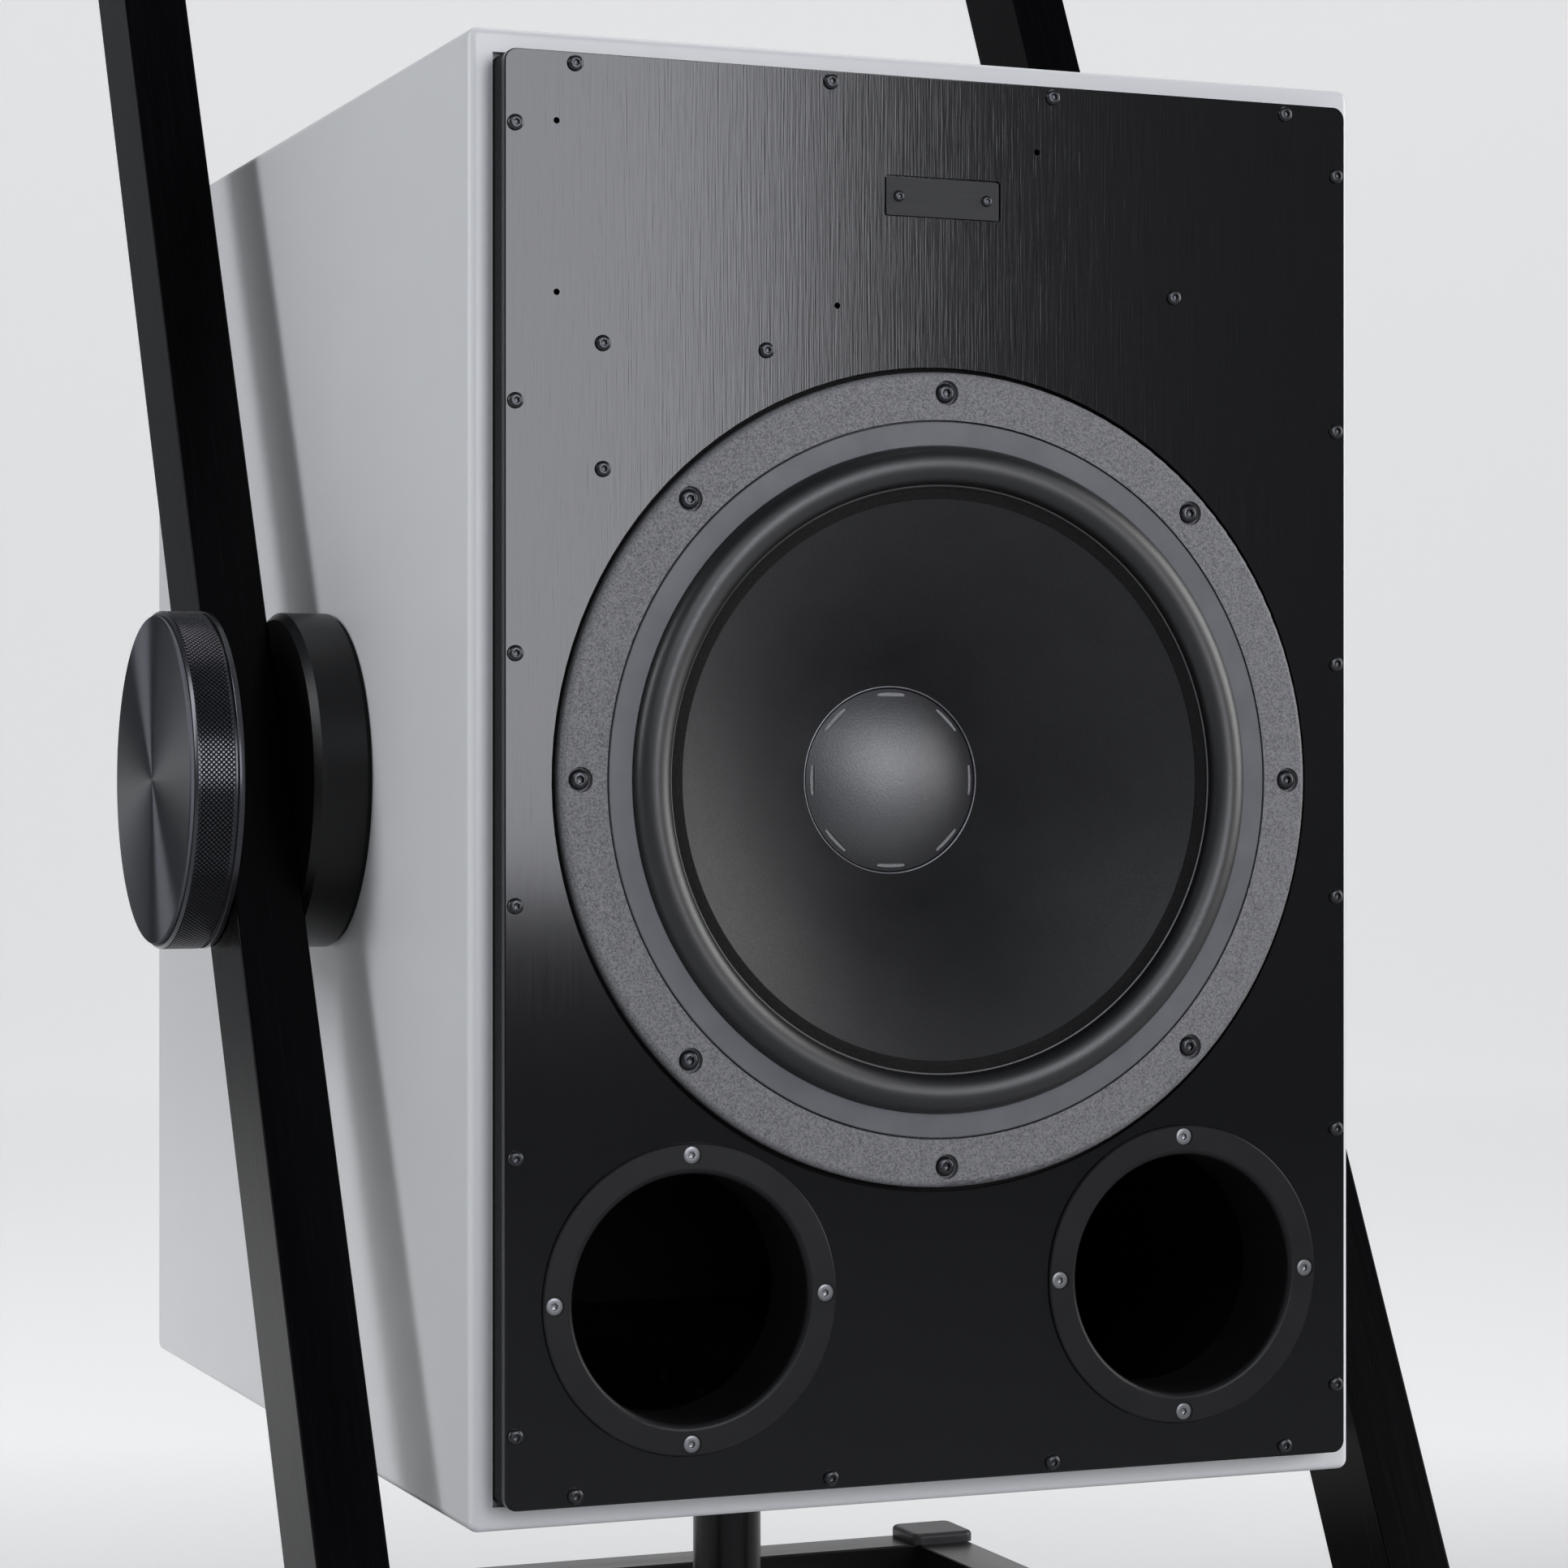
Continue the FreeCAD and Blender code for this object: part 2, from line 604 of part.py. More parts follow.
def make_face_plate():
    plate = rounded_plate(PLATE_WIDTH, PLATE_HEIGHT, PLATE_CORNER, 0, PLATE_THICKNESS)
    plate = plate.makeChamfer(PLATE_EDGE_CHAMFER, edges_at(plate, "Y", 0))
    back = PLATE_THICKNESS + 1
    holes = [rod_y(FLANGE_RADIUS + PLATE_TO_FLANGE_GAP, -1, back)]
    for x, z in plate_screw_places():
        holes.append(rod_y(M4_BUTTON[2] + SHANK_CLEARANCE, -1, back, x, z))
    for x, z in SMALL_HOLES:
        holes.append(rod_y(SMALL_HOLE_RADIUS, -1, back, x, z))
    flange_back = PORT_FLANGE_THICKNESS - PORT_FLANGE_PROUD
    for sign in (-1, 1):
        centre = (sign * PORT_OFFSET, PORT_LEVEL)
        holes.append(rod_y(PORT_FLANGE_RADIUS + PORT_FLANGE_GAP, -1, flange_back, *centre))
        holes.append(rod_y(PORT_THROAT_RADIUS + PORT_WALL + PORT_CUTOUT_GAP, -1, back, *centre))
        holes += port_screw_holes(M4_FLAT[2] + SHANK_CLEARANCE, -1, back, sign)
        holes.append(rod_y(M3_BUTTON[2] + SHANK_CLEARANCE, -1, back, sign * BADGE_SCREW_OFFSET, BADGE_LEVEL))
    holes.append(rounded_plate(BADGE_WIDTH + 2 * BADGE_GAP, BADGE_HEIGHT + 2 * BADGE_GAP,
                               BADGE_CORNER + BADGE_GAP, -1, BADGE_THICKNESS, 0, BADGE_LEVEL))
    save("face_plate", plate.cut(holes), TO_CABINET)
    screw = button_screw(M4_BUTTON, PLATE_SCREW_DEPTH)
    save("face_plate_screws", group([moved(screw, x, 0, z) for x, z in plate_screw_places()]), TO_CABINET)


def make_badge():
    badge = rounded_plate(BADGE_WIDTH, BADGE_HEIGHT, BADGE_CORNER, 0, BADGE_THICKNESS, 0, BADGE_LEVEL)
    screws = []
    for sign in (-1, 1):
        x = sign * BADGE_SCREW_OFFSET
        badge = badge.cut(rod_y(M3_BUTTON[2], -1, BADGE_THICKNESS + 1, x, BADGE_LEVEL))
        screws.append(moved(button_screw(M3_BUTTON, BADGE_SCREW_DEPTH), x, 0, BADGE_LEVEL))
    save("badge_plate", badge, TO_CABINET)
    save("badge_screws", group(screws), TO_CABINET)


# ---------------------------------------------------------------- ports
def make_ports():
    """A flanged tube with a rounded mouth, let into the face plate, and its four screws."""
    front = -PORT_FLANGE_PROUD
    back = front + PORT_FLANGE_THICKNESS
    tube = PORT_THROAT_RADIUS + PORT_WALL
    bend = PORT_MOUTH_RADIUS * (1 - math.sqrt(0.5))
    port = turned([
        (PORT_THROAT_RADIUS, front + PORT_MOUTH_RADIUS),
        (PORT_THROAT_RADIUS + PORT_MOUTH_RADIUS, front, PORT_THROAT_RADIUS + bend, front + bend),
        (PORT_FLANGE_RADIUS - PORT_EDGE, front),
        (PORT_FLANGE_RADIUS, front + PORT_EDGE),
        (PORT_FLANGE_RADIUS, back),
        (tube, back),
        (tube, PORT_LENGTH),
        (PORT_THROAT_RADIUS, PORT_LENGTH),
    ])
    seat = front + PORT_SCREW_RECESS
    recess = rod_y(PORT_SCREW_RECESS_RADIUS, front - 1, seat, 0, PORT_SCREW_CIRCLE / 2)
    hole = moved(flat_screw_body(M4_FLAT, PORT_SCREW_DEPTH, SHANK_CLEARANCE), 0, seat, PORT_SCREW_CIRCLE / 2)
    screw = moved(flat_screw(M4_FLAT, PORT_SCREW_DEPTH), 0, seat, PORT_SCREW_CIRCLE / 2)
    port = port.cut(ring_of(recess, PORT_SCREW_COUNT)).cut(ring_of(hole, PORT_SCREW_COUNT))
    screws = []
    for name, side in SIDES:
        save(name + "_port", moved(port, side * PORT_OFFSET, 0, PORT_LEVEL), TO_CABINET)
        screws += [moved(s, side * PORT_OFFSET, 0, PORT_LEVEL) for s in ring_of(screw, PORT_SCREW_COUNT)]
    save("port_screws", group(screws), TO_CABINET)


# ---------------------------------------------------------------- bass driver
def basket_wall_radius(y):
    """The outside of the basket's sloping wall."""
    share = (y - FLANGE_BACK) / (BASKET_DEPTH - FLANGE_BACK)
    return BASKET_WALL_RADIUS + share * (BASKET_BASE_RADIUS - BASKET_WALL_RADIUS)


def make_basket():
    front = -FLANGE_PROUD
    bend = FLANGE_EDGE_RADIUS * (1 - math.sqrt(0.5))
    base_front = BASKET_DEPTH - BASKET_BASE_THICKNESS
    neck = RING_SEAT + BASKET_RIM_THICKNESS
    basket = turned([
        (RING_SEAT_RADIUS, front),
        (FLANGE_RADIUS - FLANGE_EDGE_RADIUS, front),
        (FLANGE_RADIUS, front + FLANGE_EDGE_RADIUS, FLANGE_RADIUS - bend, front + bend),
        (FLANGE_RADIUS, FLANGE_BACK),
        (BASKET_WALL_RADIUS, FLANGE_BACK),
        (BASKET_BASE_RADIUS, BASKET_DEPTH),
        (BASKET_BORE_RADIUS, BASKET_DEPTH),
        (BASKET_BORE_RADIUS, base_front),
        (basket_wall_radius(base_front) - BASKET_SKIN, base_front),
        (basket_wall_radius(neck) - BASKET_SKIN, neck),
        (BASKET_RIM_RADIUS, neck),
        (BASKET_RIM_RADIUS, RING_SEAT),
        (RING_SEAT_RADIUS, RING_SEAT),
    ])
    window_back = SHELF_LEVEL - SHELF_THICKNESS
    window = turned([
        (BASKET_BORE_RADIUS, BASKET_WINDOW_FRONT),
        (FLANGE_RADIUS, BASKET_WINDOW_FRONT),
        (FLANGE_RADIUS, window_back),
        (BASKET_BORE_RADIUS, window_back),
    ])
    half = BASKET_SPOKE_WIDTH / 2
    spoke = block(-half, half, FLANGE_BACK, BASKET_DEPTH, 0, FLANGE_RADIUS + 1)
    turn = 180.0 / BASKET_SPOKES
    basket = basket.cut(window.cut(ring_of(spoke, BASKET_SPOKES, turn)))
    shelf_back = SHELF_LEVEL + SHELF_THICKNESS
    shelf = turned([
        (SHELF_INNER_RADIUS, SHELF_LEVEL),
        (basket_wall_radius(SHELF_LEVEL) - BASKET_SKIN / 2, SHELF_LEVEL),
        (basket_wall_radius(shelf_back) - BASKET_SKIN / 2, shelf_back),
        (SHELF_INNER_RADIUS, shelf_back),
    ])
    basket = basket.fuse(shelf).removeSplitter()
    bore = driver_bolt_holes(COUNTERBORE_RADIUS, front - 1, front + COUNTERBORE_DEPTH)
    bore += driver_bolt_holes(M5_BUTTON[2] + SHANK_CLEARANCE, front, FLANGE_BACK + 1)
    save("driver_basket", basket.cut(bore), TO_CABINET)


def make_basket_trim():
    """The clamp ring on the surround, the gasket behind the flange and the eight bolts."""
    front = -FLANGE_PROUD
    ring = turned([
        (RING_INNER_RADIUS, front + RING_THICKNESS),
        (RING_INNER_RADIUS, front + RING_EDGE),
        (RING_INNER_RADIUS + RING_EDGE, front),
        (RING_OUTER_RADIUS - RING_EDGE, front),
        (RING_OUTER_RADIUS, front + RING_EDGE),
        (RING_OUTER_RADIUS, front + RING_THICKNESS),
    ])
    save("surround_clamp_ring", ring, TO_CABINET)
    gasket = rod_y(FLANGE_RADIUS - DRIVER_CUTOUT_GAP, FLANGE_BACK, PLATE_THICKNESS)
    gasket = gasket.cut(rod_y(FLANGE_BACK_RADIUS + DRIVER_CUTOUT_GAP / 2, FLANGE_BACK - 1, PLATE_THICKNESS + 1))
    gasket = gasket.cut(driver_bolt_holes(M5_BUTTON[2] + SHANK_CLEARANCE, FLANGE_BACK - 1, PLATE_THICKNESS + 1))
    save("driver_gasket", gasket, TO_CABINET)
    bolt = moved(button_screw(M5_BUTTON, DRIVER_BOLT_DEPTH), 0, front + COUNTERBORE_DEPTH, DRIVER_BOLT_CIRCLE / 2)
    save("driver_bolts", group(ring_of(bolt, DRIVER_BOLT_COUNT)), TO_CABINET)


def make_motor():
    bore = COIL_RADIUS + FORMER_SKIN + COIL_SKIN + COIL_GAP
    plate = rod_y(MAGNET_RADIUS, POLE_PLATE_FRONT, POLE_PLATE_BACK)
    save("front_pole_plate", plate.cut(rod_y(bore, POLE_PLATE_FRONT - 1, POLE_PLATE_BACK + 1)), TO_CABINET)
    magnet = rod_y(MAGNET_RADIUS, POLE_PLATE_BACK, MAGNET_BACK)
    save("ferrite_magnet", magnet.cut(rod_y(MAGNET_BORE_RADIUS, POLE_PLATE_BACK - 1, MAGNET_BACK + 1)), TO_CABINET)
    back = MAGNET_BACK + BACK_PLATE_THICKNESS
    pole = rod_y(COIL_RADIUS - COIL_GAP, POLE_PLATE_FRONT, MAGNET_BACK)
    piece = rod_y(BACK_PLATE_RADIUS, MAGNET_BACK, back).fuse(pole)
    save("pole_piece", piece.cut(rod_y(VENT_RADIUS, POLE_PLATE_FRONT - 1, back + 1)), TO_CABINET)


def make_surround():
    """The rubber half roll. Its outer lip is under the clamp ring and its inner lip on the cone."""
    crest = ROLL_FOOT - SURROUND_CREST
    inner_leg = SURROUND_INNER_RADIUS + SURROUND_SKIN
    outer_leg = RING_INNER_RADIUS - SURROUND_SKIN
    lip = SURROUND_INNER_RADIUS - CONE_EDGE_LIP
    roll = turned([
        (RING_OUTER_RADIUS, RING_SEAT),
        (RING_OUTER_RADIUS, RING_SEAT - SURROUND_LIP),
        (RING_INNER_RADIUS, RING_SEAT - SURROUND_LIP),
        (RING_INNER_RADIUS, ROLL_FOOT),
        (SURROUND_INNER_RADIUS, ROLL_FOOT, ROLL_MIDDLE, crest),
        (lip, ROLL_FOOT),
        (lip, CONE_FRONT),
        (inner_leg, CONE_FRONT),
        (inner_leg, ROLL_FOOT),
        (outer_leg, ROLL_FOOT, ROLL_MIDDLE, crest + SURROUND_SKIN),
        (outer_leg, RING_SEAT),
    ])
    save("surround", roll, TO_CABINET)


def cone_arc():
    """The curve of the cone's front, from under the surround's lip to the coil former."""
    outer = (SURROUND_INNER_RADIUS - CONE_EDGE_LIP, CONE_FRONT)
    neck = (FORMER_OUTER, CONE_NECK)
    middle = ((outer[0] + neck[0]) / 2, (outer[1] + neck[1]) / 2 - CONE_FLARE)
    return outer, middle, neck


def cone_front_at(radius):
    """How far back the cone's front face is at a radius."""
    outer, middle, neck = cone_arc()
    circle = Part.Arc(vec(*outer, 0), vec(*middle, 0), vec(*neck, 0)).toShape().Curve
    return circle.Center.y - math.sqrt(circle.Radius ** 2 - (radius - circle.Center.x) ** 2)


def make_cone():
    outer, middle, neck = cone_arc()
    back = CONE_SKIN
    cone = turned([
        (SURROUND_INNER_RADIUS, CONE_FRONT),
        outer,
        neck + middle,
        (neck[0], neck[1] + back),
        (outer[0], outer[1] + back, middle[0], middle[1] + back),
        (SURROUND_INNER_RADIUS, CONE_FRONT + back),
    ])
    save("cone", cone, TO_CABINET)


def make_dust_cap():
    """The dome over the coil, with a ring of shallow notches just inside its edge."""
    rim = cone_front_at(CAP_RADIUS)
    edge = rim - CAP_EDGE
    crown = edge - CAP_HEIGHT
    sphere = (CAP_RADIUS ** 2 + CAP_HEIGHT ** 2) / (2 * CAP_HEIGHT)
    inner_sphere = sphere - CAP_SKIN
    inner_radius = math.sqrt(inner_sphere ** 2 - (sphere - CAP_HEIGHT + CAP_EDGE) ** 2)

    def dome(radius, ball):
        return crown + sphere - math.sqrt(ball ** 2 - radius ** 2)

    half = CAP_RADIUS / 2
    cap = turned([
        (0, crown + CAP_SKIN),
        (inner_radius, rim, inner_radius / 2, dome(inner_radius / 2, inner_sphere)),
        (CAP_RADIUS, rim),
        (CAP_RADIUS, edge),
        (0, crown, half, dome(half, sphere)),
    ])
    notch_back = dome(CAP_NOTCH_RADIUS, sphere) + CAP_NOTCH_DEPTH
    notch = block(-CAP_NOTCH_LENGTH / 2, CAP_NOTCH_LENGTH / 2, crown, notch_back,
                  CAP_NOTCH_RADIUS - CAP_NOTCH_WIDTH / 2, CAP_NOTCH_RADIUS + CAP_NOTCH_WIDTH / 2)
    save("dust_cap", cap.cut(ring_of(notch, CAP_NOTCH_COUNT)), TO_CABINET)


def make_coil():
    """The former that joins the cone to the winding, and the winding in the magnet's gap."""
    start = CONE_NECK - CONE_NECK_OVERLAP
    former = rod_y(FORMER_OUTER, start, COIL_END).cut(rod_y(COIL_RADIUS, start - 1, COIL_END + 1))
    save("coil_former", former, TO_CABINET)
    coil_start = COIL_END - COIL_HEIGHT
    coil = rod_y(FORMER_OUTER + COIL_SKIN, coil_start, COIL_END)
    save("voice_coil", coil.cut(rod_y(FORMER_OUTER, coil_start - 1, COIL_END + 1)), TO_CABINET)


def make_spider():
    """The corrugated disc that centres the coil. Its outer rim is glued to the basket's shelf."""
    front = SHELF_LEVEL - SPIDER_SKIN
    wave_start = FORMER_OUTER + SPIDER_LIP
    pitch = (SHELF_INNER_RADIUS - SPIDER_LIP - wave_start) / (2 * SPIDER_WAVES)
    outward = [(FORMER_OUTER, front), (wave_start, front)]
    inward = [(SHELF_INNER_RADIUS + SPIDER_RIM, front), (SHELF_INNER_RADIUS + SPIDER_RIM, SHELF_LEVEL)]
    for index in range(2 * SPIDER_WAVES):
        start = wave_start + index * pitch
        height = SPIDER_WAVE if index % 2 else -SPIDER_WAVE
        outward.append((start + pitch, front, start + pitch / 2, front + height))
    wave_end = wave_start + 2 * SPIDER_WAVES * pitch
    inward.append((wave_end, SHELF_LEVEL))
    for index in reversed(range(2 * SPIDER_WAVES)):
        start = wave_start + index * pitch
        height = SPIDER_WAVE if index % 2 else -SPIDER_WAVE
        inward.append((start, SHELF_LEVEL, start + pitch / 2, SHELF_LEVEL + height))
    save("spider", turned(outward + inward + [(FORMER_OUTER, SHELF_LEVEL)]), TO_CABINET)


# ---------------------------------------------------------------- rear connectors
def dish_screw_places():
    """The (x, z) places of the connector dish's four screws."""
    half_x = (DISH_WIDTH + DISH_RIM) / 2
    half_z = (DISH_HEIGHT + DISH_RIM) / 2
    return [(x, DISH_LEVEL + z) for x in (-half_x, half_x) for z in (-half_z, half_z)]


def make_dish():
    """A shallow tray let into the rear panel, with two round locking sockets on its floor."""
    rim_back = CABINET_REAR + DISH_RIM_THICKNESS
    floor = CABINET_REAR - DISH_DEPTH
    rim = rounded_plate(DISH_WIDTH + 2 * DISH_RIM, DISH_HEIGHT + 2 * DISH_RIM, DISH_CORNER,
                        CABINET_REAR, rim_back, 0, DISH_LEVEL)
    tray = rounded_plate(DISH_WIDTH, DISH_HEIGHT, DISH_CORNER, floor, CABINET_REAR, 0, DISH_LEVEL)
    hollow = rounded_plate(DISH_WIDTH - 2 * DISH_SKIN, DISH_HEIGHT - 2 * DISH_SKIN, DISH_CORNER - DISH_SKIN,
                           floor + DISH_SKIN, rim_back + 1, 0, DISH_LEVEL)
    dish = rim.fuse(tray).cut(hollow)
    screws = []
    for x, z in dish_screw_places():
        dish = dish.cut(rod_y(M3_BUTTON[2], CABINET_REAR - 1, rim_back + 1, x, z))
        screw = button_screw(M3_BUTTON, DISH_SCREW_DEPTH)
        screw.rotate(vec(0, 0, 0), vec(0, 0, 1), 180)
        screws.append(moved(screw, x, rim_back, z))
    seat = floor + DISH_SKIN
    sockets = []
    for sign in (-1, 1):
        x = sign * SOCKET_OFFSET
        body = rod_y(SOCKET_RADIUS, seat, seat + SOCKET_HEIGHT, x, DISH_LEVEL)
        hole = rod_y(SOCKET_BORE_RADIUS, seat + SOCKET_HEIGHT - SOCKET_BORE_DEPTH,
                     seat + SOCKET_HEIGHT + 1, x, DISH_LEVEL)
        sockets.append(body.cut(hole))
    save("connector_dish", dish, TO_CABINET)
    save("connector_sockets", group(sockets), TO_CABINET)
    save("connector_screws", group(screws), TO_CABINET)


# ---------------------------------------------------------------- trunnions and knobs
def outwards(shape, side):
    """A piece drawn along y from the middle of the cabinet, turned to run out along the pivot."""
    piece = shape.copy()
    piece.rotate(vec(0, 0, 0), vec(0, 0, 1), -90)
    piece.translate(vec(0, PIVOT_BEHIND_FACE, 0))
    return piece if side > 0 else mirrored(piece)


def make_trunnions():
    """The bosses on the cabinet's sides, with their gaskets, backing plates, bolts and studs."""
    boss = turned([
        (STUD_RADIUS, BOSS_INNER),
        (BOSS_RADIUS, BOSS_INNER),
        (BOSS_RADIUS, BOSS_OUTER - BOSS_CHAMFER),
        (BOSS_RADIUS - BOSS_CHAMFER, BOSS_OUTER),
        (STUD_RADIUS, BOSS_OUTER),
    ])
    gasket = rod_y(BOSS_GASKET_RADIUS, HALF_WIDTH, BOSS_INNER)
    backing = rod_y(BACKING_RADIUS, INNER_X - BACKING_THICKNESS, INNER_X)
    bolt_end = BOSS_INNER + BOSS_BOLT_BITE
    hole = rod_y(BOSS_BOLT_RADIUS, INNER_X - 2 * BACKING_THICKNESS, bolt_end, BOSS_BOLT_CIRCLE / 2, 0)
    wide = rod_y(BOSS_BOLT_RADIUS + SHANK_CLEARANCE, INNER_X - 2 * BACKING_THICKNESS, bolt_end,
                 BOSS_BOLT_CIRCLE / 2, 0)
    seat = INNER_X - BACKING_THICKNESS
    head = rod_y(BOSS_BOLT_HEAD_RADIUS, seat - BOSS_BOLT_HEAD, seat, BOSS_BOLT_CIRCLE / 2, 0)
    socket = moved(hexagon_y(BOSS_BOLT_SOCKET, seat - BOSS_BOLT_HEAD - 1, seat - BOSS_BOLT_HEAD / 2),
                   BOSS_BOLT_CIRCLE / 2, 0, 0)
    shank = rod_y(BOSS_BOLT_RADIUS, seat - 1, bolt_end, BOSS_BOLT_CIRCLE / 2, 0)
    bolt = head.cut(socket).fuse(shank)
    boss = boss.cut(ring_of(hole, BOSS_BOLT_COUNT))
    gasket = gasket.cut(ring_of(wide, BOSS_BOLT_COUNT))
    backing = backing.cut(ring_of(wide, BOSS_BOLT_COUNT))
    stud = turned([
        (0, BOSS_OUTER - STUD_BITE),
        (STUD_RADIUS, BOSS_OUTER - STUD_BITE),
        (STUD_RADIUS, KNOB_INNER + STUD_IN_KNOB - STUD_CHAMFER),
        (STUD_RADIUS - STUD_CHAMFER, KNOB_INNER + STUD_IN_KNOB),
        (0, KNOB_INNER + STUD_IN_KNOB),
    ])
    plug = rod_y(STUD_RADIUS, BOSS_INNER, BOSS_OUTER - STUD_BITE)
    boss = boss.fuse(plug).removeSplitter()
    bolts = []
    gaskets = []
    backings = []
    for name, side in SIDES:
        save(name + "_boss", outwards(boss, side), TO_CABINET)
        save(name + "_pivot_stud", outwards(stud, side), TO_CABINET)
        bolts += [outwards(b, side) for b in ring_of(bolt, BOSS_BOLT_COUNT)]
        gaskets.append(outwards(gasket, side))
        backings.append(outwards(backing, side))
    save("boss_bolts", group(bolts), TO_CABINET)
    save("boss_gaskets", group(gaskets), TO_CABINET)
    save("backing_plates", group(backings), TO_CABINET)


def make_knobs():
    """A knob is a threaded core, a knurled grip round it and a spun face let into the front."""
    grip_end = KNOB_INNER + KNOB_RIM + KNOB_GROOVE + KNURL_WIDTH + KNOB_SHOULDER
    bore_end = KNOB_INNER + STUD_IN_KNOB + 1
    core = rod_y(KNOB_CORE_RADIUS, KNOB_INNER, grip_end)
    core = core.cut(rod_y(STUD_RADIUS + STUD_CLEARANCE, KNOB_INNER - 1, bore_end))
    groove_start = KNOB_INNER + KNOB_RIM
    groove_end = groove_start + KNOB_GROOVE
    grip = turned([
        (KNOB_CORE_RADIUS, KNOB_INNER),
        (KNOB_RADIUS - KNOB_RIM_CHAMFER, KNOB_INNER),
        (KNOB_RADIUS, KNOB_INNER + KNOB_RIM_CHAMFER),
        (KNOB_RADIUS, groove_start),
        (KNOB_RADIUS - KNOB_GROOVE_DEPTH, groove_start),
        (KNOB_RADIUS - KNOB_GROOVE_DEPTH, groove_end),
        (KNOB_RADIUS, groove_end),
        (KNOB_RADIUS, grip_end - KNOB_SHOULDER),
        (KNOB_SHOULDER_RADIUS, grip_end),
        (KNOB_CORE_RADIUS, grip_end),
    ])
    face_end = grip_end + KNOB_FACE_THICKNESS
    face = turned([
        (0, grip_end),
        (KNOB_FACE_RADIUS, grip_end),
        (KNOB_FACE_RADIUS, face_end - KNOB_FACE_CHAMFER),
        (KNOB_FACE_RADIUS - KNOB_FACE_CHAMFER, face_end),
        (0, face_end),
    ])
    for name, side in SIDES:
        save(name + "_knob_core", outwards(core, side), TO_CABINET)
        save(name + "_knob_grip", outwards(grip, side), TO_CABINET)
        save(name + "_knob_face", outwards(face, side), TO_CABINET)


# ---------------------------------------------------------------- stand
def leg_bar(inset, low, high, rounded=False):
    """The leaning bar on the right side, between two levels. Inset is how far in from its faces."""
    half = LEG_DEPTH / 2 - inset
    reach = 2 * LEG_TOP
    bar = block(LEG_INNER + inset, LEG_OUTER - inset, -half, half, -reach, reach)
    if rounded:
        bar = bar.makeFillet(LEG_EDGE_RADIUS, edges_along(bar, vec(0, 0, 1)))
    bar.rotate(vec(0, 0, 0), vec(1, 0, 0), -LEG_LEAN)
    bar.translate(vec(0, PIVOT_Y, PIVOT_HEIGHT))
    return bar.common(block(0, 2 * LEG_OUTER, -reach, reach, low, high))


def make_legs():
    cap_bottom = LEG_TOP - END_CAP
    leg = leg_bar(0, BEAM_TOP, cap_bottom, True).cut(leg_bar(TUBE_WALL, BEAM_TOP - 1, LEG_TOP))
    hole = rod_x(BUSH_RADIUS, LEG_INNER - 1, LEG_OUTER + 1, PIVOT_Y, PIVOT_HEIGHT)
    leg = leg.cut(hole)
    bush = rod_x(BUSH_RADIUS, LEG_INNER, LEG_OUTER, PIVOT_Y, PIVOT_HEIGHT)
    bush = bush.cut(rod_x(STUD_RADIUS + STUD_CLEARANCE, LEG_INNER - 1, LEG_OUTER + 1, PIVOT_Y, PIVOT_HEIGHT))
    cap = leg_bar(0, cap_bottom, LEG_TOP, True)
    save("right_leg", leg)
    save("left_leg", mirrored(leg))
    save("pivot_bushes", group([bush, mirrored(bush)]))
    save("leg_caps", group([cap, mirrored(cap)]))


def beam_tube(x0, x1, y0, y1, ends):
    """A level rectangular tube of the base. Ends is the axis that it runs along."""
    tube = block(x0, x1, y0, y1, FOOT_HEIGHT, BEAM_TOP)
    direction = vec(1, 0, 0) if ends == "X" else vec(0, 1, 0)
    tube = tube.makeFillet(LEG_EDGE_RADIUS, edges_along(tube, direction))
    wall_x = -1 if ends == "X" else TUBE_WALL
    wall_y = -1 if ends == "Y" else TUBE_WALL
    hollow = block(x0 + wall_x, x1 - wall_x, y0 + wall_y, y1 - wall_y,
                   FOOT_HEIGHT + TUBE_WALL, BEAM_TOP - TUBE_WALL)
    return tube.cut(hollow)


def foot_places():
    front = BASE_FRONT + FRONT_FOOT_INSET
    return [(sign * LEG_MIDDLE, y) for sign in (-1, 1) for y in (front, REAR_BLOCK_MIDDLE)]


def make_base():
    stems = [rod_z(FOOT_STEM_RADIUS, FOOT_HEIGHT - 1, FOOT_HEIGHT + FOOT_STEM, x, y) for x, y in foot_places()]
    side = beam_tube(LEG_INNER, LEG_OUTER, BASE_FRONT + END_CAP, REAR_BLOCK_INNER, "Y").cut(stems)
    save("right_side_beam", side)
    save("left_side_beam", mirrored(side))
    save("rear_beam", beam_tube(-LEG_INNER, LEG_INNER, REAR_BLOCK_INNER, REAR_BLOCK_OUTER, "X"))
    save("middle_beam", beam_tube(-LEG_INNER, LEG_INNER, POST_Y - LEG_WIDTH / 2, POST_Y + LEG_WIDTH / 2, "X"))
    corner = block(LEG_INNER, LEG_OUTER, REAR_BLOCK_INNER, REAR_BLOCK_OUTER, FOOT_HEIGHT, BEAM_TOP).cut(stems)
    save("corner_blocks", group([corner, mirrored(corner)]))
    over = CORNER_CAP_OVERHANG
    cap = block(LEG_INNER - over, LEG_OUTER + over, REAR_BLOCK_INNER - over, REAR_BLOCK_OUTER + over,
                BEAM_TOP, BEAM_TOP + CORNER_CAP_HEIGHT)
    cap = cap.makeFillet(2 * CORNER_CAP_RADIUS, edges_along(cap, vec(0, 0, 1)))
    cap = cap.makeFillet(CORNER_CAP_RADIUS, edges_at(cap, "Z", BEAM_TOP + CORNER_CAP_HEIGHT))
    save("corner_caps", group([cap, mirrored(cap)]))
    end = block(LEG_INNER, LEG_OUTER, BASE_FRONT, BASE_FRONT + END_CAP, FOOT_HEIGHT, BEAM_TOP)
    end = end.makeFillet(LEG_EDGE_RADIUS, edges_along(end, vec(0, 1, 0)))
    save("beam_end_caps", group([end, mirrored(end)]))


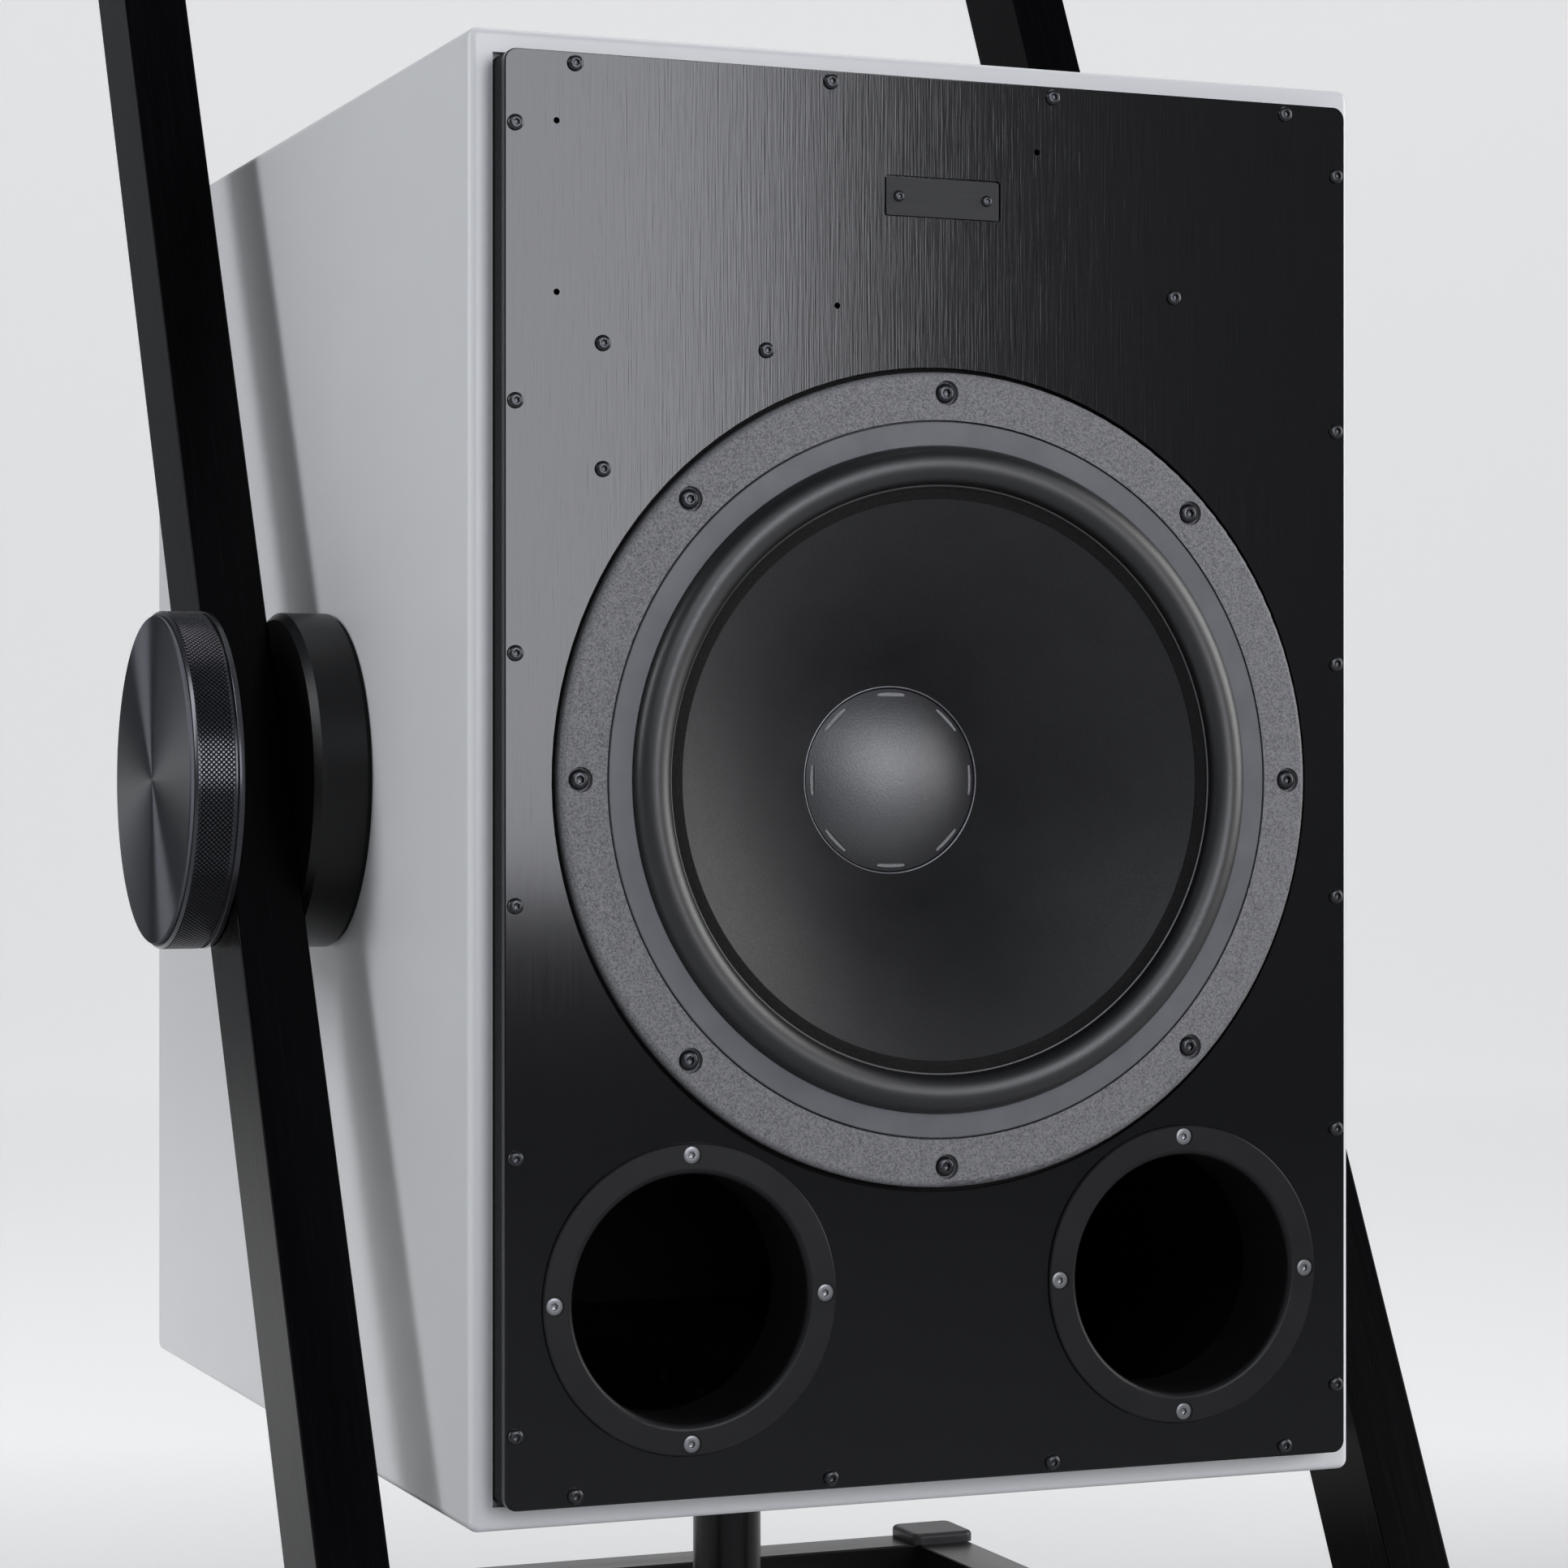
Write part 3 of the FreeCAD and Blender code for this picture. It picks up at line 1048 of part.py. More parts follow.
def turned_upright(points, x, y):
    """Turns an outline of (radius, height) about an upright axis."""
    shape = turned(points)
    shape.rotate(vec(0, 0, 0), vec(1, 0, 0), 90)
    return moved(shape, x, y, 0)


def make_feet():
    outline = [
        (0, 0),
        (FOOT_RADIUS - FOOT_CHAMFER, 0),
        (FOOT_RADIUS, FOOT_CHAMFER),
        (FOOT_RADIUS, FOOT_HEIGHT - FOOT_CHAMFER),
        (FOOT_RADIUS - FOOT_CHAMFER, FOOT_HEIGHT),
        (FOOT_STEM_RADIUS, FOOT_HEIGHT),
        (FOOT_STEM_RADIUS, FOOT_HEIGHT + FOOT_STEM),
        (0, FOOT_HEIGHT + FOOT_STEM),
    ]
    save("levelling_feet", group([turned_upright(outline, x, y) for x, y in foot_places()]))


def make_post():
    """The post under the cabinet and the rubber buffer that stops it tilting too far."""
    post_top = PIVOT_HEIGHT - BUFFER_TOP_BELOW_PIVOT - BUFFER_HEIGHT
    flange_top = BEAM_TOP + POST_FLANGE
    bore = POST_RADIUS - TUBE_WALL
    post = turned_upright([
        (bore, BEAM_TOP),
        (POST_FLANGE_RADIUS, BEAM_TOP),
        (POST_FLANGE_RADIUS, flange_top - POST_FLANGE / 4),
        (POST_FLANGE_RADIUS - POST_FLANGE / 4, flange_top),
        (POST_RADIUS, flange_top),
        (POST_RADIUS, post_top),
        (BUFFER_STEM_RADIUS, post_top),
        (BUFFER_STEM_RADIUS, post_top - END_CAP),
        (bore, post_top - END_CAP),
    ], 0, POST_Y)
    buffer_top = post_top + BUFFER_HEIGHT
    bend = BUFFER_ROUND * (1 - math.sqrt(0.5))
    buffer = turned_upright([
        (0, post_top - BUFFER_STEM),
        (BUFFER_STEM_RADIUS, post_top - BUFFER_STEM),
        (BUFFER_STEM_RADIUS, post_top),
        (BUFFER_RADIUS, post_top),
        (BUFFER_RADIUS, buffer_top - BUFFER_ROUND),
        (BUFFER_RADIUS - BUFFER_ROUND, buffer_top, BUFFER_RADIUS - bend, buffer_top - bend),
        (0, buffer_top),
    ], 0, POST_Y)
    save("centre_post", post)
    save("rubber_buffer", buffer)


# ---------------------------------------------------------------- everything
os.makedirs("parts", exist_ok=True)
make_walls()
make_rear_panel()
make_braces()
make_strike_plate()
make_front_board()
make_face_plate()
make_badge()
make_ports()
make_basket()
make_basket_trim()
make_motor()
make_surround()
make_cone()
make_dust_cap()
make_coil()
make_spider()
make_dish()
make_trunnions()
make_knobs()
make_legs()
make_base()
make_feet()
make_post()
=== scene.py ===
# %% [markdown]
# # A bass loudspeaker on its trunnion stand
# The shapes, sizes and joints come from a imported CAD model, which is loaded first and never moved.
# This file gives every part its finish, and remakes those whose shape shows up close: the screw heads, the
# knurled grips and the rubber surround. It adds a bead round the dust cap and the glue on the cone's edge.
# Lengths are in metres. X runs across the speaker, Y from front to back and Z up. The front looks towards -Y.

# %% Load the frame
import bpy
import bmesh
import json
import math
from collections import namedtuple
from mathutils import Matrix, Vector


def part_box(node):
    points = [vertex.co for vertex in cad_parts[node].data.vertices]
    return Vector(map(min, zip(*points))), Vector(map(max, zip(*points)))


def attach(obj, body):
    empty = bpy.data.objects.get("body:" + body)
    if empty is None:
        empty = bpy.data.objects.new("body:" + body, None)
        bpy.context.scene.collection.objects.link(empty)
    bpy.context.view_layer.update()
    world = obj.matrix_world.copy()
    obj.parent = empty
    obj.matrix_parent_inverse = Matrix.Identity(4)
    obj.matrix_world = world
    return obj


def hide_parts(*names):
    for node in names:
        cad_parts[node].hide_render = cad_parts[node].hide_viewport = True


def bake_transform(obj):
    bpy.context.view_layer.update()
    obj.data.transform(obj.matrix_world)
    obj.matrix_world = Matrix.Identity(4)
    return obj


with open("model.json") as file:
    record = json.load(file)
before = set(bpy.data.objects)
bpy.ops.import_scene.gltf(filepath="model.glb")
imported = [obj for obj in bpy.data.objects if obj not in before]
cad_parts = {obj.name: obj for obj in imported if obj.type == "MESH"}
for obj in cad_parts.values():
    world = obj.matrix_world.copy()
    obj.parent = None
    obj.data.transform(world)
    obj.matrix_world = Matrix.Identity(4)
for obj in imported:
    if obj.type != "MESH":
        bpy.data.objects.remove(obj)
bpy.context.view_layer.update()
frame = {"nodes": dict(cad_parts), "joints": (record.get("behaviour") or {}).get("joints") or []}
nodes = frame["nodes"]
MM = 0.001

# %% [markdown]
# Everything on the front is placed from two reference points of the CAD model: the middle of the face
# plate's front, and the pivot that the cabinet tilts on.

# %% Reference points
plate_low, plate_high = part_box("face_plate")
FACE_Y = plate_low.y
FACE_X = (plate_low.x + plate_high.x) / 2
FACE_Z = (plate_low.z + plate_high.z) / 2
tilt = next(joint for joint in frame["joints"] if joint["name"] == "cabinet_tilt")
PIVOT = Vector(tilt["pos_m"])
face_centre = Vector((FACE_X, FACE_Y, FACE_Z))
print("face centre", face_centre, "pivot", PIVOT)

# %% [markdown]
# ## Camera
# A portrait lens, level and a little to the left, keeps the cabinet's upright edges parallel. The camera
# stands level with the driver, so the top and the underside are both out of sight.

# %% Camera
LENS = 90.0
SENSOR_WIDTH = 36.0
CAMERA_OFFSET = Vector((-0.7717, -1.7148, -0.002))
CAMERA_TURN = math.radians(-21.908)
camera_data = bpy.data.cameras.new("camera")
camera_data.lens = LENS
camera_data.sensor_width = SENSOR_WIDTH
camera = bpy.data.objects.new("camera", camera_data)
camera.location = face_centre + CAMERA_OFFSET
camera.rotation_euler = (math.radians(90), 0, CAMERA_TURN)
bpy.context.scene.collection.objects.link(camera)
bpy.context.scene.camera = camera
bpy.context.scene.view_settings.view_transform = "Standard"
print("camera at", camera.location)

# %% [markdown]
# ## New pieces
# Every new piece goes into the scene the same way. Its faces are smooth, with sharp creases where they meet
# at a steep angle. It rides on one body of the CAD model, and it hides the CAD parts that it takes over from.

# %% Piece helpers
def finished_mesh(name, mesh_data, sharp=35):
    """A smooth mesh with sharp creases where faces meet at more than the sharp angle."""
    mesh = bpy.data.meshes.new(name)
    mesh_data.to_mesh(mesh)
    mesh_data.free()
    mesh.shade_smooth()
    mesh.set_sharp_from_angle(angle=math.radians(sharp))
    return mesh


def add_piece(name, mesh, body, finish, slot, *replaced):
    """Puts a finished mesh in the scene on a body, in place of CAD parts."""
    piece = bpy.data.objects.new(name, mesh)
    bpy.context.scene.collection.objects.link(piece)
    mesh.materials.clear()
    mesh.materials.append(finish)
    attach(piece, body)
    if replaced:
        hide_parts(*replaced)
    print(name, len(mesh.polygons), "faces on", body)
    return piece


print("piece helpers ready")

# %% [markdown]
# ## Turned shapes
# Most of this speaker is turned: a profile, spun about an axis. Blender's Screw modifier could do that, but a
# small lathe of our own spins about any axis, welds the poles and turns the normals out, so every turned
# piece is a closed mesh from the start. It takes the profile as pairs of radius and depth.

# %% Lathe helper
ON_AXIS = 1e-9
ROUND = 192


def place_ring(axis, centre, radius, depth, angle):
    """A point at an angle on a ring. Depth runs along the axis from the centre."""
    across, up = radius * math.cos(angle), radius * math.sin(angle)
    if axis == "Y":
        return centre + Vector((across, depth, up))
    if axis == "X":
        return centre + Vector((depth, across, up))
    return centre + Vector((across, up, depth))


def lathe(name, profile, segments, axis, centre, closed=False, sharp=35):
    """Spins (radius, depth) pairs about an axis. A closed profile joins its end to its start."""
    mesh_data = bmesh.new()
    rings = []
    for radius, depth in profile:
        count = 1 if radius < ON_AXIS else segments
        turns = [2 * math.pi * k / segments for k in range(count)]
        rings.append([mesh_data.verts.new(place_ring(axis, centre, radius, depth, a)) for a in turns])
    pairs = list(zip(rings, rings[1:])) + ([(rings[-1], rings[0])] if closed else [])
    for lower, upper in pairs:
        for k in range(segments):
            n = (k + 1) % segments
            corners = []
            for ring, index in ((lower, k), (lower, n), (upper, n), (upper, k)):
                vertex = ring[index] if len(ring) > 1 else ring[0]
                if vertex not in corners:
                    corners.append(vertex)
            mesh_data.faces.new(corners)
    bmesh.ops.recalc_face_normals(mesh_data, faces=mesh_data.faces)
    return finished_mesh(name, mesh_data, sharp)


print("lathe ready")

# %% [markdown]
# ## Finishes
# Every material here is a Principled shader whose colour, roughness and bump come from small procedural
# textures. They all read Object coordinates, so a pattern keeps its real size in metres on every part.
# These helpers add one texture at a time.

# %% Finish helpers
def new_finish(name, colour, roughness, metallic=0.0, **sockets):
    """A material with one Principled shader. Sockets are constant values, named with underscores."""
    material = bpy.data.materials.new(name)
    material.use_nodes = True
    tree = material.node_tree
    tree.nodes.clear()
    output = tree.nodes.new("ShaderNodeOutputMaterial")
    shader = tree.nodes.new("ShaderNodeBsdfPrincipled")
    shader.name = "shader"
    tree.links.new(shader.outputs["BSDF"], output.inputs["Surface"])
    shader.inputs["Base Color"].default_value = (*colour, 1)
    shader.inputs["Roughness"].default_value = roughness
    shader.inputs["Metallic"].default_value = metallic
    for socket, value in sockets.items():
        shader.inputs[socket.replace("_", " ")].default_value = value
    return material


def object_coordinates(tree, stretch=(1, 1, 1), turn=(0, 0, 0), centre=(0, 0, 0)):
    """Object coordinates measured from a centre, along turned axes, and divided by the stretch."""
    coordinates = tree.nodes.new("ShaderNodeTexCoord")
    mapping = tree.nodes.new("ShaderNodeMapping")
    mapping.vector_type = "TEXTURE"
    mapping.inputs["Location"].default_value = centre
    mapping.inputs["Rotation"].default_value = turn
    mapping.inputs["Scale"].default_value = stretch
    tree.links.new(coordinates.outputs["Object"], mapping.inputs["Vector"])
    return mapping.outputs["Vector"]


print("finish helpers ready")

# %% [markdown]
# A surface is never quite even. Noise gives a value from 0 to 1, which is spread over a range and then fed to
# a socket, or turned into a colour between two others.

# %% Texture helpers
# A Mix node has sockets for every kind of data. These are the numbers of those that it uses for colour.
MIX_SHARE, MIX_FIRST, MIX_SECOND, MIX_RESULT = 0, 6, 7, 2


def grain(tree, size, stretch=(1, 1, 1), detail=2.0, turn=(0, 0, 0), rough=0.5):
    """Noise whose spots are about size metres across, longer along an axis where stretch is above 1."""
    texture = tree.nodes.new("ShaderNodeTexNoise")
    texture.inputs["Scale"].default_value = 1 / size
    texture.inputs["Detail"].default_value = detail
    texture.inputs["Roughness"].default_value = rough
    tree.links.new(object_coordinates(tree, stretch, turn), texture.inputs["Vector"])
    return texture.outputs["Fac"]


def ranged(tree, value, low, high, start=0.3, end=0.7):
    """Spreads a texture's middle values over low to high."""
    node = tree.nodes.new("ShaderNodeMapRange")
    node.inputs["From Min"].default_value = start
    node.inputs["From Max"].default_value = end
    node.inputs["To Min"].default_value = low
    node.inputs["To Max"].default_value = high
    tree.links.new(value, node.inputs["Value"])
    return node.outputs["Result"]


def colour_between(tree, value, dark, light):
    """A colour that goes from dark to light as value goes from 0 to 1."""
    node = tree.nodes.new("ShaderNodeMix")
    node.data_type = "RGBA"
    node.inputs[MIX_FIRST].default_value = (*dark, 1)
    node.inputs[MIX_SECOND].default_value = (*light, 1)
    tree.links.new(value, node.inputs[MIX_SHARE])
    return node.outputs[MIX_RESULT]


print("texture helpers ready")

# %% [markdown]
# A few patterns follow a rule, such as rings round an axis. Math nodes work them out from the coordinates.

# %% Maths helpers
def maths(tree, operation, first, second=None):
    """A Math node whose inputs are sockets or plain numbers."""
    node = tree.nodes.new("ShaderNodeMath")
    node.operation = operation
    for socket, value in zip(node.inputs, (first, second)):
        if isinstance(value, (int, float)):
            socket.default_value = value
        elif value is not None:
            tree.links.new(value, socket)
    return node.outputs[0]


def vector_maths(tree, operation, first, second=None):
    """A Vector Math node. Its first input is a socket and its second a plain vector."""
    node = tree.nodes.new("ShaderNodeVectorMath")
    node.operation = operation
    tree.links.new(first, node.inputs[0])
    if second is not None:
        node.inputs[1].default_value = second
    return node.outputs["Value" if operation == "LENGTH" else "Vector"]


print("maths helpers ready")

# %% [markdown]
# Two more helpers join a texture to the shader: as bump, which bends reflections but leaves the shape alone,
# or as any other input.

# %% Shader helpers
def bump(material, height, depth, strength=1.0):
    """Bump on the shader's normal. Depth is in metres."""
    tree = material.node_tree
    node = tree.nodes.new("ShaderNodeBump")
    node.inputs["Strength"].default_value = strength
    node.inputs["Distance"].default_value = depth
    tree.links.new(height, node.inputs["Height"])
    tree.links.new(node.outputs["Normal"], tree.nodes["shader"].inputs["Normal"])


def drive(material, socket, value):
    """Feeds a texture to one of the shader's sockets."""
    tree = material.node_tree
    tree.links.new(value, tree.nodes["shader"].inputs[socket])


print("shader helpers ready")

# %% [markdown]
# ### Cabinet lacquer
# The cabinet is sprayed light grey and left satin. Real lacquer has a faint orange peel, a few
# millimetres across, which softens the reflection of the dark leg on the cabinet's side.

# %% Cabinet lacquer
def make_lacquer():
    """Light grey satin lacquer, a little cloudy."""
    lacquer = new_finish("cabinet_lacquer", (0.84, 0.843, 0.85), 0.36)
    tree = lacquer.node_tree
    cloud = ranged(tree, grain(tree, 0.25, detail=3), 0.0, 1.0)
    drive(lacquer, "Base Color", colour_between(tree, cloud, (0.83, 0.833, 0.84), (0.85, 0.853, 0.86)))
    drive(lacquer, "Roughness", ranged(tree, grain(tree, 0.03), 0.30, 0.35))
    bump(lacquer, grain(tree, 0.0025, detail=1), 0.000004)
    return lacquer


lacquer = make_lacquer()
print("made", lacquer.name)

# %% [markdown]
# The boards are sprayed on the outside only. Inside, they are stained black, so that nothing pale shows
# through the two ports. A second material could do that, but one colour that changes inside the boards needs
# no cut faces. A point is inside when it lies within the middle of the boards along X, Y and Z alike.

# %% Black inside
BLACK_STAIN = (0.020, 0.020, 0.020)


def blacken_inside(lacquer, low, high, wall):
    """Stains the faces that look into the cabinet. Low and high are its outer corners."""
    tree = lacquer.node_tree
    place = vector_maths(tree, "SUBTRACT", object_coordinates(tree), (low + high) / 2)
    reach = vector_maths(tree, "ABSOLUTE", place)
    share = vector_maths(tree, "DIVIDE", reach, [side / 2 - wall / 2 for side in high - low])
    parts = tree.nodes.new("ShaderNodeSeparateXYZ")
    tree.links.new(share, parts.inputs[0])
    furthest = maths(tree, "MAXIMUM", parts.outputs["X"], parts.outputs["Y"])
    furthest = maths(tree, "MAXIMUM", furthest, parts.outputs["Z"])
    inside = maths(tree, "LESS_THAN", furthest, 1.0)
    node = tree.nodes.new("ShaderNodeMix")
    node.data_type = "RGBA"
    node.inputs[MIX_SECOND].default_value = (*BLACK_STAIN, 1)
    sprayed = tree.nodes["shader"].inputs["Base Color"].links[0].from_socket
    tree.links.new(sprayed, node.inputs[MIX_FIRST])
    tree.links.new(inside, node.inputs[MIX_SHARE])
    drive(lacquer, "Base Color", node.outputs[MIX_RESULT])


cabinet_low, panel_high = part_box("left_side_panel")
cabinet_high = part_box("right_side_panel")[1]
board = panel_high.x - cabinet_low.x
blacken_inside(lacquer, cabinet_low, cabinet_high, board)
print("black inside boards of", round(board / MM, 2), "mm")

# %% [markdown]
# ### Brushed black metal
# The face plate is brushed upright and then anodised black. The brush leaves thousands of fine upright
# scratches. They blur a reflection sideways, which the shader's anisotropy does, and they show as streaks,
# which noise that is stretched along Z does. A Tangent node that turns about Z gives the blur's direction.

# %% Brushed metal
LINE_SHEEN, LINE_SHADE = 0.08, 0.2


def make_brushed(name, colour, roughness, along, anisotropy=0.4, depth=0.00003, lean=0.0, shine=0.5,
                 line=0.0012, index=1.5):
    """Black anodised metal with brush lines. Along is the stretch of the lines, which may lean back."""
    metal = new_finish(name, colour, roughness, Anisotropic=anisotropy, Specular_IOR_Level=shine, IOR=index)
    tree = metal.node_tree
    lines = grain(tree, line, along, detail=2, turn=(-lean, 0, 0), rough=0.6)
    low, high = roughness * (1 - LINE_SHEEN), roughness * (1 + LINE_SHEEN)
    drive(metal, "Roughness", ranged(tree, lines, low, high))
    dark = tuple(c * (1 - LINE_SHADE) for c in colour)
    light = tuple(c * (1 + LINE_SHADE) for c in colour)
    drive(metal, "Base Color", colour_between(tree, ranged(tree, lines, 0, 1), dark, light))
    direction = tree.nodes.new("ShaderNodeTangent")
    direction.direction_type = "RADIAL"
    direction.axis = "Z"
    drive(metal, "Tangent", direction.outputs["Tangent"])
    bump(metal, lines, depth)
    return metal


LEG_LEAN = math.radians(27)
PLATE_BLACK, STAND_BLACK = (0.0030, 0.0030, 0.0034), (0.0022, 0.0022, 0.0026)
BADGE_BLACK = (0.030, 0.030, 0.031)
plate_metal = make_brushed("brushed_black_plate", PLATE_BLACK, 0.12, (1, 1, 50), depth=0.00004, line=0.0009)
badge_metal = make_brushed("badge_metal", BADGE_BLACK, 0.5, (28, 1, 1), 0.0, shine=0.3)
leg_metal = make_brushed("leg_metal", STAND_BLACK, 0.26, (1, 1, 60), 0.3, lean=LEG_LEAN, shine=0.15,
                         index=1.3)
side_beam_metal = make_brushed("side_beam_metal", STAND_BLACK, 0.30, (1, 60, 1), 0.3, shine=0.35)
cross_beam_metal = make_brushed("cross_beam_metal", STAND_BLACK, 0.30, (60, 1, 1), 0.3, shine=0.35)
stand_metal = make_brushed("stand_metal", STAND_BLACK, 0.26, (1, 1, 30), 0.3, shine=0.4)
print("brushed metals ready")

# %% [markdown]
# ### Grained casting
# The driver's frame is a casting with a fine textured powder coat. Up close the coat is a field of tiny
# bumps. One rough noise gives both the bumps and a painted shade: it is the height of the bump, and its low
# spots are painted darker, as shade in the pits, with the tops lighter.

# %% Grained casting
POWDER_GRAIN = 0.0008
# Painted shade: the low spots of the grain take the dark pit colour, the tops the lighter one.
PAINTED_PIT_SHADE, GRAIN_TOP = (0.070, 0.069, 0.074), (0.255, 0.253, 0.264)


def make_casting():
    """Textured grey powder coat, with painted shade in the low spots of its grain."""
    coat = new_finish("grained_casting", (0.15, 0.15, 0.16), 0.55, Specular_IOR_Level=0.45)
    tree = coat.node_tree
    spots = grain(tree, POWDER_GRAIN, detail=3, rough=0.65)
    height = ranged(tree, spots, 0.0, 1.0, 0.30, 0.60)
    # The colour follows the height, so the pits are painted darker: painted shade.
    drive(coat, "Base Color", colour_between(tree, height, PAINTED_PIT_SHADE, GRAIN_TOP))
    drive(coat, "Roughness", ranged(tree, spots, 0.62, 0.45))
    bump(coat, spots, 0.00010, 0.8)
    return coat


casting_coat = make_casting()
print("made", casting_coat.name)

# %% [markdown]
# ### Satin coats, rubber and moulded plastic
# The rest of the black and grey parts share one recipe: a base colour that drifts a little, a roughness
# that drifts with it, and a bump whose grain is the size that the real surface has.

# %% Satin finishes
CLOUD_SIZE = 0.02


def make_satin(name, colour, roughness, size, depth, metallic=0.0, drift=0.12, **sockets):
    """A plain finish. Size and depth are those of its grain, in metres."""
    satin = new_finish(name, colour, roughness, metallic, **sockets)
    tree = satin.node_tree
    cloud = ranged(tree, grain(tree, CLOUD_SIZE, detail=3), 0, 1)
    dark = tuple(c * (1 - drift) for c in colour)
    light = tuple(c * (1 + drift) for c in colour)
    drive(satin, "Base Color", colour_between(tree, cloud, dark, light))
    fine = grain(tree, size, detail=2)
    drive(satin, "Roughness", ranged(tree, fine, roughness * (1 - drift), roughness * (1 + drift)))
    bump(satin, fine, depth)
    return satin


ring_coat = make_satin("smooth_ring", (0.130, 0.134, 0.145), 0.42, 0.0006, 0.000004)
port_plastic = make_satin("port_plastic", (0.016, 0.016, 0.017), 0.34, 0.0007, 0.000010,
                          Specular_IOR_Level=0.2)
surround_rubber = make_satin("surround_rubber", (0.003, 0.003, 0.0034), 0.42, 0.0008, 0.000010,
                             IOR=1.6, Specular_IOR_Level=0.75)
foot_rubber = make_satin("foot_rubber", (0.015, 0.015, 0.015), 0.7, 0.0012, 0.00005)
gasket_foam = make_satin("gasket_foam", (0.005, 0.005, 0.005), 0.85, 0.0012, 0.00005, Specular_IOR_Level=0.3)
dish_plastic = make_satin("dish_plastic", (0.018, 0.018, 0.019), 0.5, 0.0010, 0.00004)
cap_plastic = make_satin("cap_plastic", (0.020, 0.020, 0.021), 0.42, 0.0010, 0.00003)
board_stain = make_satin("black_board", (0.012, 0.012, 0.012), 0.75, 0.0015, 0.00005,
                         Specular_IOR_Level=0.2)
boss_metal = make_satin("boss_metal", (0.005, 0.005, 0.005), 0.36, 0.0005, 0.000006, Specular_IOR_Level=0.3)
plated_steel = make_satin("plated_steel", (0.42, 0.42, 0.43), 0.35, 0.002, 0.00001, 1.0)
stud_steel = make_satin("stud_steel", (0.5, 0.5, 0.52), 0.3, 0.001, 0.00001, 1.0)
ferrite = make_satin("ferrite", (0.03, 0.03, 0.032), 0.6, 0.0012, 0.00004)
bush_bronze = make_satin("bush_bronze", (0.55, 0.38, 0.17), 0.35, 0.001, 0.00001, 1.0)
former_cloth = make_satin("former_paper", (0.32, 0.22, 0.11), 0.7, 0.0008, 0.00006)
coil_copper = make_satin("coil_copper", (0.72, 0.33, 0.16), 0.35, 0.0006, 0.00004, 1.0)
screw_black = make_satin("black_screw", (0.065, 0.065, 0.07), 0.30, 0.0006, 0.000006, 0.85)
screw_grey = make_satin("grey_screw", (0.26, 0.26, 0.27), 0.36, 0.0006, 0.000006, 0.85)
bead_metal = make_satin("bead_metal", (0.20, 0.20, 0.215), 0.30, 0.0008, 0.000004, 0.9)
print("satin finishes ready")

# %% [markdown]
# ### Cone and dust cap fibre
# The cone is pressed from fibres, so it is matt, and speckled with short lighter fibres. The dust cap is the
# same kind of pulp with a smoother skin, which catches a wide soft highlight.

# %% Cone fibre
SPECK_SIZE, SPECK_SHARE = 0.0011, 0.8


def make_fibre(name, dark, light, roughness, depth, **sockets):
    """Pressed fibre: fine specks on a slow cloud, in colour, in gloss and in height."""
    fibre = new_finish(name, light, roughness, **sockets)
    tree = fibre.node_tree
    specks = grain(tree, SPECK_SIZE, detail=4, rough=0.75)
    cloud = grain(tree, CLOUD_SIZE, detail=3)
    height = tree.nodes.new("ShaderNodeMath")
    height.operation = "MULTIPLY_ADD"
    height.inputs[1].default_value = SPECK_SHARE
    tree.links.new(specks, height.inputs[0])
    tree.links.new(ranged(tree, cloud, 0.0, 1 - SPECK_SHARE, 0.2, 0.8), height.inputs[2])
    drive(fibre, "Base Color", colour_between(tree, ranged(tree, height.outputs[0], 0, 1), dark, light))
    drive(fibre, "Roughness", ranged(tree, specks, roughness * 1.15, roughness * 0.85))
    bump(fibre, height.outputs[0], depth, 0.7)
    return fibre


cone_fibre = make_fibre("cone_fibre", (0.008, 0.008, 0.0085), (0.020, 0.020, 0.022), 0.50, 0.00010)
cap_fibre = make_fibre("cap_fibre", (0.004, 0.004, 0.0055), (0.018, 0.018, 0.023), 0.43, 0.00035,
                       IOR=1.9, Specular_IOR_Level=1.0)
print("fibre finishes ready")

# %% [markdown]
# ### Spun metal
# A spun face is cut on a lathe, so its scratches are circles and its highlight is a bow tie through the
# centre. The scratches blur the highlight along the radius, which needs a direction for the shader: the
# cross product of the radius and the knob's own axis. Noise on the distance from that axis cuts the rings.

# %% Spun metal
RING_SPACING = 0.0007
SPUN_DARK, SPUN_LIGHT = (0.06, 0.062, 0.070), (0.13, 0.134, 0.148)


def make_spun():
    """Spun metal whose rings run round the pivot's own X axis."""
    spun = new_finish("spun_metal", (0.12, 0.125, 0.14), 0.42, 1.0, Anisotropic=1.0)
    tree = spun.node_tree
    from_pivot = object_coordinates(tree, centre=(0, PIVOT.y, PIVOT.z))
    radius = vector_maths(tree, "MULTIPLY", from_pivot, (0, 1, 1))
    noise = tree.nodes.new("ShaderNodeTexNoise")
    noise.noise_dimensions = "1D"
    noise.inputs["Scale"].default_value = 1 / RING_SPACING
    noise.inputs["Detail"].default_value = 3
    tree.links.new(vector_maths(tree, "LENGTH", radius), noise.inputs["W"])
    rings = noise.outputs["Fac"]
    drive(spun, "Roughness", ranged(tree, rings, 0.38, 0.48))
    drive(spun, "Base Color", colour_between(tree, ranged(tree, rings, 0, 1), SPUN_DARK, SPUN_LIGHT))
    drive(spun, "Tangent", vector_maths(tree, "CROSS_PRODUCT", radius, (1, 0, 0)))
    bump(spun, rings, 0.00002, 0.6)
    return spun


spun_metal = make_spun()
knurled_metal = make_satin("knurled_metal", (0.060, 0.060, 0.068), 0.24, 0.0005, 0.000003, 0.7)
print("made", spun_metal.name, "and", knurled_metal.name)

# %% [markdown]
# ## Dressing the CAD parts
# Each CAD part already names its material slot, so one loop swaps the plain CAD material for the finish of
# the same name. The legs and the beams are brushed along their own length, so those six are listed apart.

